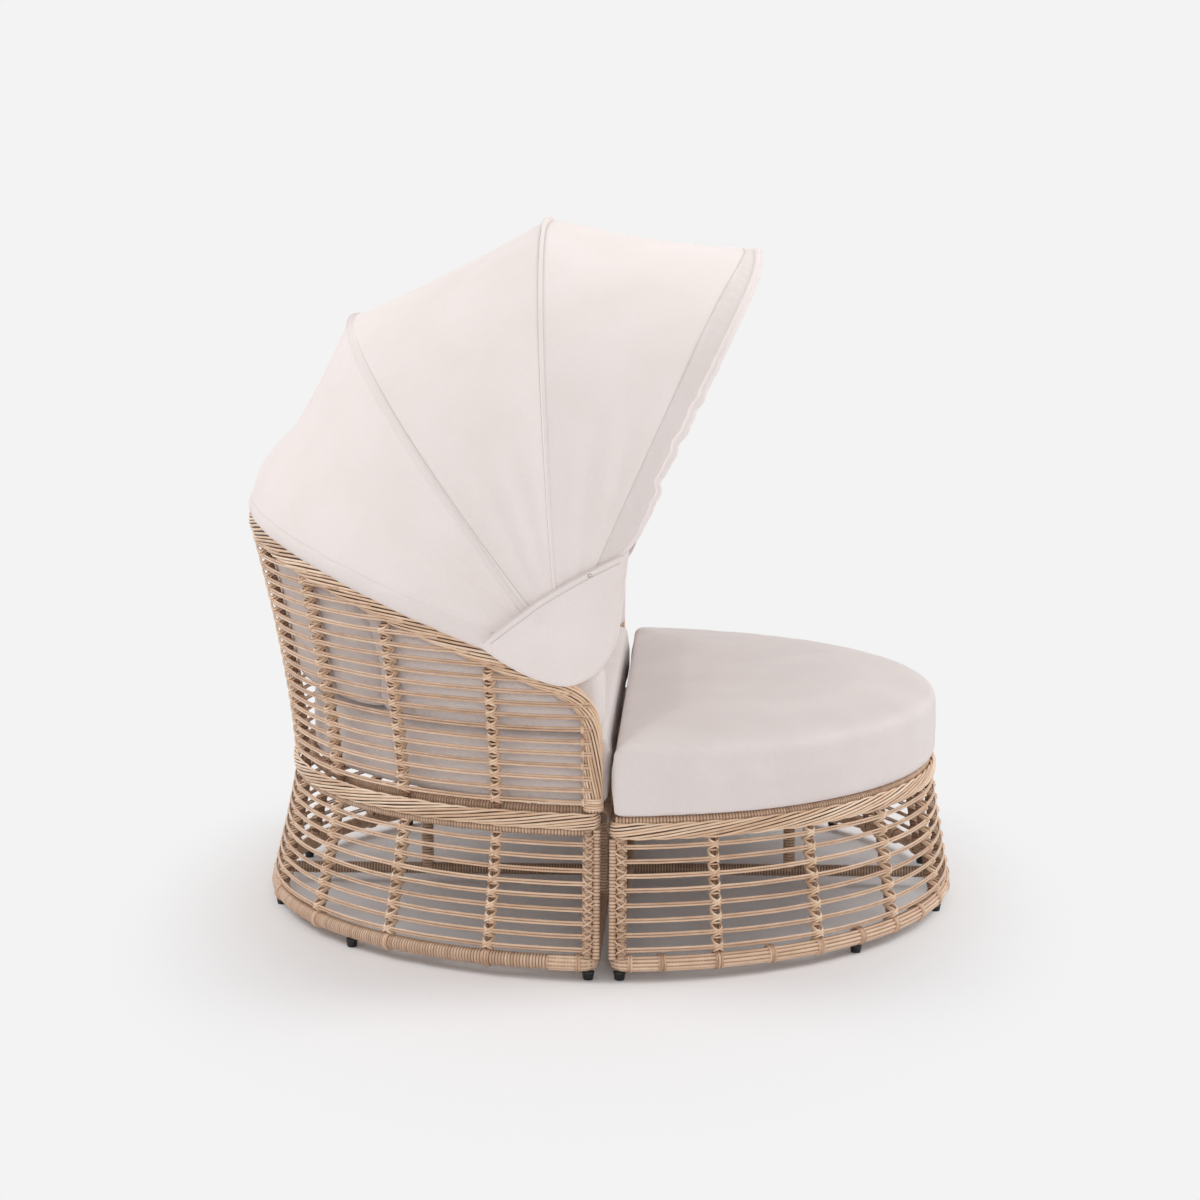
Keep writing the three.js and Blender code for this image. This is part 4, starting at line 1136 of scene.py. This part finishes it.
def sleeve():
    """The pocket of cloth round the second bow."""
    share = np.linspace(0.07, 1.93, 181)
    folded = to_crest(share)
    full, crest = smooth((folded - 0.1) / 0.12), smooth((folded - 0.8) / 0.2)
    out = square_to(BOW_ANGLE[1])
    path = on_bow(1, share, 2.5) + 4 * out * full[:, None]
    width = 2 * (cloth_margin(folded) + CLOTH - 0.2 + 2.5 * crest)
    # painted shade on the sleeve, deepest near the crest
    gap = np.repeat(0.14 + 0.6 * crest, 18)
    return sewn("sleeve_second_bow", BOW_BODY[1], path, out, 21 + 4 * full, width, 18, gap)


def ridge():
    """The narrow rolled seam over the third bow."""
    share = np.linspace(0.07, 1.93, 181)
    folded = to_crest(share)
    crest = smooth((folded - 0.85) / 0.15)
    path = on_bow(2, share, cloth_margin(folded) + CLOTH - 0.8)
    out = square_to(BOW_ANGLE[2])
    return sewn("ridge_third_bow", BOW_BODY[2], path, out, 9 + 9 * crest, 7 + 6 * crest, 12)


def seam(name, body, first, second, place):
    """Stitching on the outer face of a panel, at a distance from its first bow, or a negative one from
    its second."""
    share = np.linspace(0.07, 1.93, 221)
    place = (place(to_crest(share)) if callable(place) else place) / chord_between(first, second, share)
    path = panel_points(first, second, share, np.where(place > 0, place, 1 + place), CLOTH + 0.3)
    # painted shade along the stitching
    return sewn(f"seam_{name}", body, path, unit(path - PIVOT), 1.4, 1.7, 6, gap=0.7)


def front_roll():
    """The rolled edge of the front hem."""
    share = np.linspace(0.055, 1.945, 241)
    folded = to_crest(share)
    path = panel_points(2, 3, share, 1 + hem_width(folded) / chord_between(2, 3, share), 0.5 * CLOTH)
    thick = 2 * HEM_ROLL * (0.45 + 0.55 * smooth(folded / 0.3))
    return sewn("hem_front_bow", "front_bow", path, unit(path - PIVOT), thick, thick, 14)


def rear_roll():
    """The rear hem, which covers the rear bow and lies on the rim."""
    share = np.linspace(0.12, 1.88, 221)
    folded = to_crest(share)
    drop = np.interp(folded, (0.1, 0.167, 0.25, 0.5, 1), (36, 35, 31, 22, 17))
    path = on_bow(0, share, 1)
    path[:, 2] -= 0.5 * drop - 3
    random = np.random.default_rng(88)
    thick = drop + 22 + wobble(random, folded * 1200, size=1.2, wave=160)
    wide = 28 + wobble(random, folded * 1200, size=1, wave=110)
    # faint painted shade on the hem
    return sewn("hem_rear_bow", "sofa", path, UP, thick, wide, 20, gap=0.14)


def canopy():
    for bow, name in enumerate(BOW_NAMES):
        bow_tube(bow, name)
    canopy_panel("canopy_rear_panel", 0, 1, [rear_roll()])
    canopy_panel("canopy_middle_panel", 1, 2, [sleeve(), seam("second_bow", "second_bow", 1, 2, 13.5)])
    front = [ridge(), seam("third_bow", "third_bow", 1, 2, -6), front_roll(),
             seam("front_hem", "front_bow", 2, 3, stitch_place)]
    canopy_panel("canopy_front_panel", 2, 3, front)


# Hinges


def spline(points, count):
    """A smooth curve through points, by Catmull and Rom."""
    p = np.array(points, float)
    p = np.concatenate([[2 * p[0] - p[1]], p, [2 * p[-1] - p[-2]]])
    curve = []
    for i in range(1, len(p) - 2):
        t = np.linspace(0, 1, count, endpoint=False)[:, None]
        a, b, c, d = p[i - 1 : i + 3]
        curve.append(0.5 * (2 * b + (c - a) * t + (2 * a - 5 * b + 4 * c - d) * t**2
                            + (3 * b - a - 3 * c + d) * t**3))
    return np.concatenate([*curve, p[-2:-1]])


def cover_x(y, z):
    """How far out a hinge cover lies: flat on the pin's head, clear of the folded bows, and leaning
    on the open cloth above."""
    reach, turn = np.hypot(y, z), np.arctan2(z, y)
    radius, power, wide = (np.interp(turn, BOW_ANGLE, values) for values in (BOW_REACH, BOW_POWER, BOW_X))
    share = np.clip(reach / radius, 0, 1)
    cloth = wide * (1 - share**power) ** (1 / power) + cloth_margin(np.arcsin(share) / QUARTER) + CLOTH
    lean = np.clip(COVER_X - cloth - 3.2, 0, 40)
    above = smooth((turn - 0.85) / 0.45) * (turn < 2.6)
    behind = smooth((turn - 0.05) / 0.25) * (1 - above) * (turn < 2.6)
    return COVER_X + 5 * behind * smooth((reach - 35) / 40) - lean * above * smooth((reach - 50) / 60)


def cover_top(share, depth):
    """Points of a line this deep below a cover's top edge, at shares from its tail to its tip."""
    tail, tip = np.array(COVER_TAIL, float), np.array(COVER_TIP, float)
    down = unit(np.array([tail[1] - tip[1], tip[0] - tail[0]]))
    bow = COVER_BULGE * np.sin(share * math.pi)
    return tail + share[:, None] * (tip - tail) + down * (depth - bow)[:, None]


def cover_swell(points, size):
    """How far a cover's cloth stands out, at the ring of this size."""
    belly = 2 * smooth((1 - size) / 0.6)
    return belly + 1.2 * np.sin(points[:, 0] * 0.05 + points[:, 1] * 0.02) * smooth((1 - size) / 0.3)


def hinge_cover(name, side):
    rounded = spline([COVER_TIP, *COVER_ROUND, COVER_TAIL], 8)
    loop = np.concatenate([rounded, cover_top(np.linspace(0, 1, 34)[1:-1], 0)])
    sideways = np.array([side, 0, 0])

    def place(points, lift):
        x = side * (cover_x(points[:, 0], points[:, 1]) + lift)
        return np.column_stack([x, PIVOT[1] + points[:, 0], PIVOT[2] + points[:, 1]])

    def face(lift):
        rings = [(size, COVER_MIDDLE + (loop - COVER_MIDDLE) * size) for size in COVER_RING_SHARES]
        return np.array([place(ring, lift + cover_swell(ring, size)) for size, ring in rings])

    rings = np.concatenate([face(-0.5 * CLOTH)[::-1], face(0.5 * CLOTH)])
    cloth = Weave()
    cloth.bar(rings if side < 0 else rings[:, ::-1], 0.5)
    piece = cloth.make(f"hinge_cover_{name}_cloth", CANOPY, "sofa")
    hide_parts(f"hinge_cover_{name}")
    trim = Weave(91)
    trim.bar(tube(place(rounded, 0), sideways, PIPING_DIAMETER, PIPING_DIAMETER, 8))
    rim = trim.make(f"hinge_piping_{name}", PIPING, "sofa")
    stitches = Weave()
    for depth, start in ((2, 0.02), (COVER_BAND, 0.06)):
        line = cover_top(np.linspace(start, 0.99 - start, 60), depth)
        path = place(line, 0.5 * CLOTH + 0.5 + cover_swell(line, 1 - depth / 62))
        # painted shade along the stitching
        stitches.bar(tube(path, sideways, 1.3, 1.6, 6), 0.5, gap=0.8)
    stitched = stitches.make(f"hinge_stitches_{name}", CANOPY, "sofa")
    snap = Weave()
    turned(snap, SNAP_PROFILE, place(np.array([SNAP_PLACE]), 1)[0], sideways, 24)
    button = snap.make(f"hinge_snap_{name}", METAL, "sofa")


def hinge(name, side):
    pin = Weave()
    turned(pin, PIN_PROFILE, PIVOT, np.array([side, 0, 0]))
    piece = pin.make(f"pivot_pin_{name}_turned", METAL, "sofa")
    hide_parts(f"pivot_pin_{name}")
    bracket = frame["nodes"][f"canopy_bracket_{name}"].data.materials
    bracket.clear()
    bracket.append(METAL)


# Stage, in metres


BACKGROUND = colour(243, 243, 243)
FLOOR = colour(237, 236, 237)
FLOOR_REACH = 30
FADE_START, FADE_END = 0.85, 1.6
FADE_STRETCH = (0.86, 1.5, 0)
SKY = (1, 0.985, 0.98, 1)
SKY_STRENGTH = 0.6
AIM = (0, 0, 0.6)
LAMPS = (("front", (1, -4, 4.5), 3, 122), ("back", (0.5, 4.5, 4.5), 3, 124),
         ("side", (-6, -0.6, 2.2), 1.4, 53))  # name, place, diameter and watts
CAMERA_PLACE = (-5.816, -0.2354, 1.5464)
CAMERA_YAW, CAMERA_PITCH = 0.0408, 0.1554
FOCAL_LENGTH, SENSOR_WIDTH = 81, 36


def world():
    studio = bpy.data.worlds.new("studio")
    studio.use_nodes = True
    nodes = Nodes(studio.node_tree)
    nodes.tree.nodes.clear()
    lit = nodes.node("ShaderNodeBackground", SKY, SKY_STRENGTH)
    shown = nodes.node("ShaderNodeBackground", BACKGROUND)
    mix = nodes.node("ShaderNodeMixShader", nodes.seen(), lit.outputs[0], shown.outputs[0])
    nodes.node("ShaderNodeOutputWorld", mix.outputs[0])
    bpy.context.scene.world = studio


def floor_paint():
    """Pale floor that goes over to the background away from the daybed."""
    paint = Paint("floor", Base_Color=FLOOR, Roughness=0.9, Specular_IOR_Level=0.1)
    multiply, length = {"operation": "MULTIPLY"}, {"operation": "LENGTH"}
    spot = paint.node("ShaderNodeVectorMath", paint.place(), FADE_STRETCH, settings=multiply)
    distance = paint.node("ShaderNodeVectorMath", spot.outputs[0], settings=length)
    fade = paint.node("ShaderNodeMapRange", settings={"interpolation_type": "SMOOTHSTEP"},
                      Value=distance.outputs["Value"], From_Min=FADE_START, From_Max=FADE_END)
    factor = paint.math("MULTIPLY", paint.seen(), fade.outputs["Result"])
    glow = paint.node("ShaderNodeEmission", BACKGROUND)
    mix = paint.node("ShaderNodeMixShader", factor, paint.shader.outputs[0], glow.outputs[0])
    paint.feed(paint.tree.nodes["Material Output"].inputs["Surface"], mix.outputs[0])
    return paint.material


def studio_floor():
    mesh = bpy.data.meshes.new("studio_floor")
    corners = [(x * FLOOR_REACH, y * FLOOR_REACH, 0) for x, y in ((-1, -1), (1, -1), (1, 1), (-1, 1))]
    mesh.from_pydata(corners, [], [(0, 1, 2, 3)])
    mesh.materials.append(floor_paint())
    floor = bpy.data.objects.new("studio_floor", mesh)
    bpy.context.scene.collection.objects.link(floor)


def aimed(name, data, place, direction):
    """An object that looks in a direction."""
    made = bpy.data.objects.new(name, data)
    made.location = place
    made.rotation_euler = direction.to_track_quat("-Z", "Y").to_euler()
    bpy.context.scene.collection.objects.link(made)
    return made


def lamp(name, place, size, power):
    data = bpy.data.lights.new(name, "AREA")
    data.shape = "DISK"
    data.size = size
    data.energy = power
    aimed(name, data, place, Vector(AIM) - Vector(place))


def camera():
    data = bpy.data.cameras.new("camera")
    data.lens, data.sensor_width = FOCAL_LENGTH, SENSOR_WIDTH
    level = math.cos(CAMERA_PITCH)
    look = Vector((math.cos(CAMERA_YAW) * level, math.sin(CAMERA_YAW) * level, -math.sin(CAMERA_PITCH)))
    bpy.context.scene.camera = aimed("camera", data, CAMERA_PLACE, look)


camera()
for half in (SOFA, STOOL):
    floor_ring(half)
    base_canes(half)
    base_rim(half)
    rim_rail(half, **RIM_RAIL[half])
    feet(half)
seat_frame(SOFA, DECK, leg_y=420)
seat_frame(STOOL, STOOL_DECK, leg_y=-380)
back_rim()
back_canes()
cushions()
for hand, way in HANDS.items():
    hinge(hand, way)
canopy()
for hand, way in HANDS.items():
    hinge_cover(hand, way)
world()
studio_floor()
for entry in LAMPS:
    lamp(*entry)
bpy.context.scene.view_settings.view_transform = "Standard"
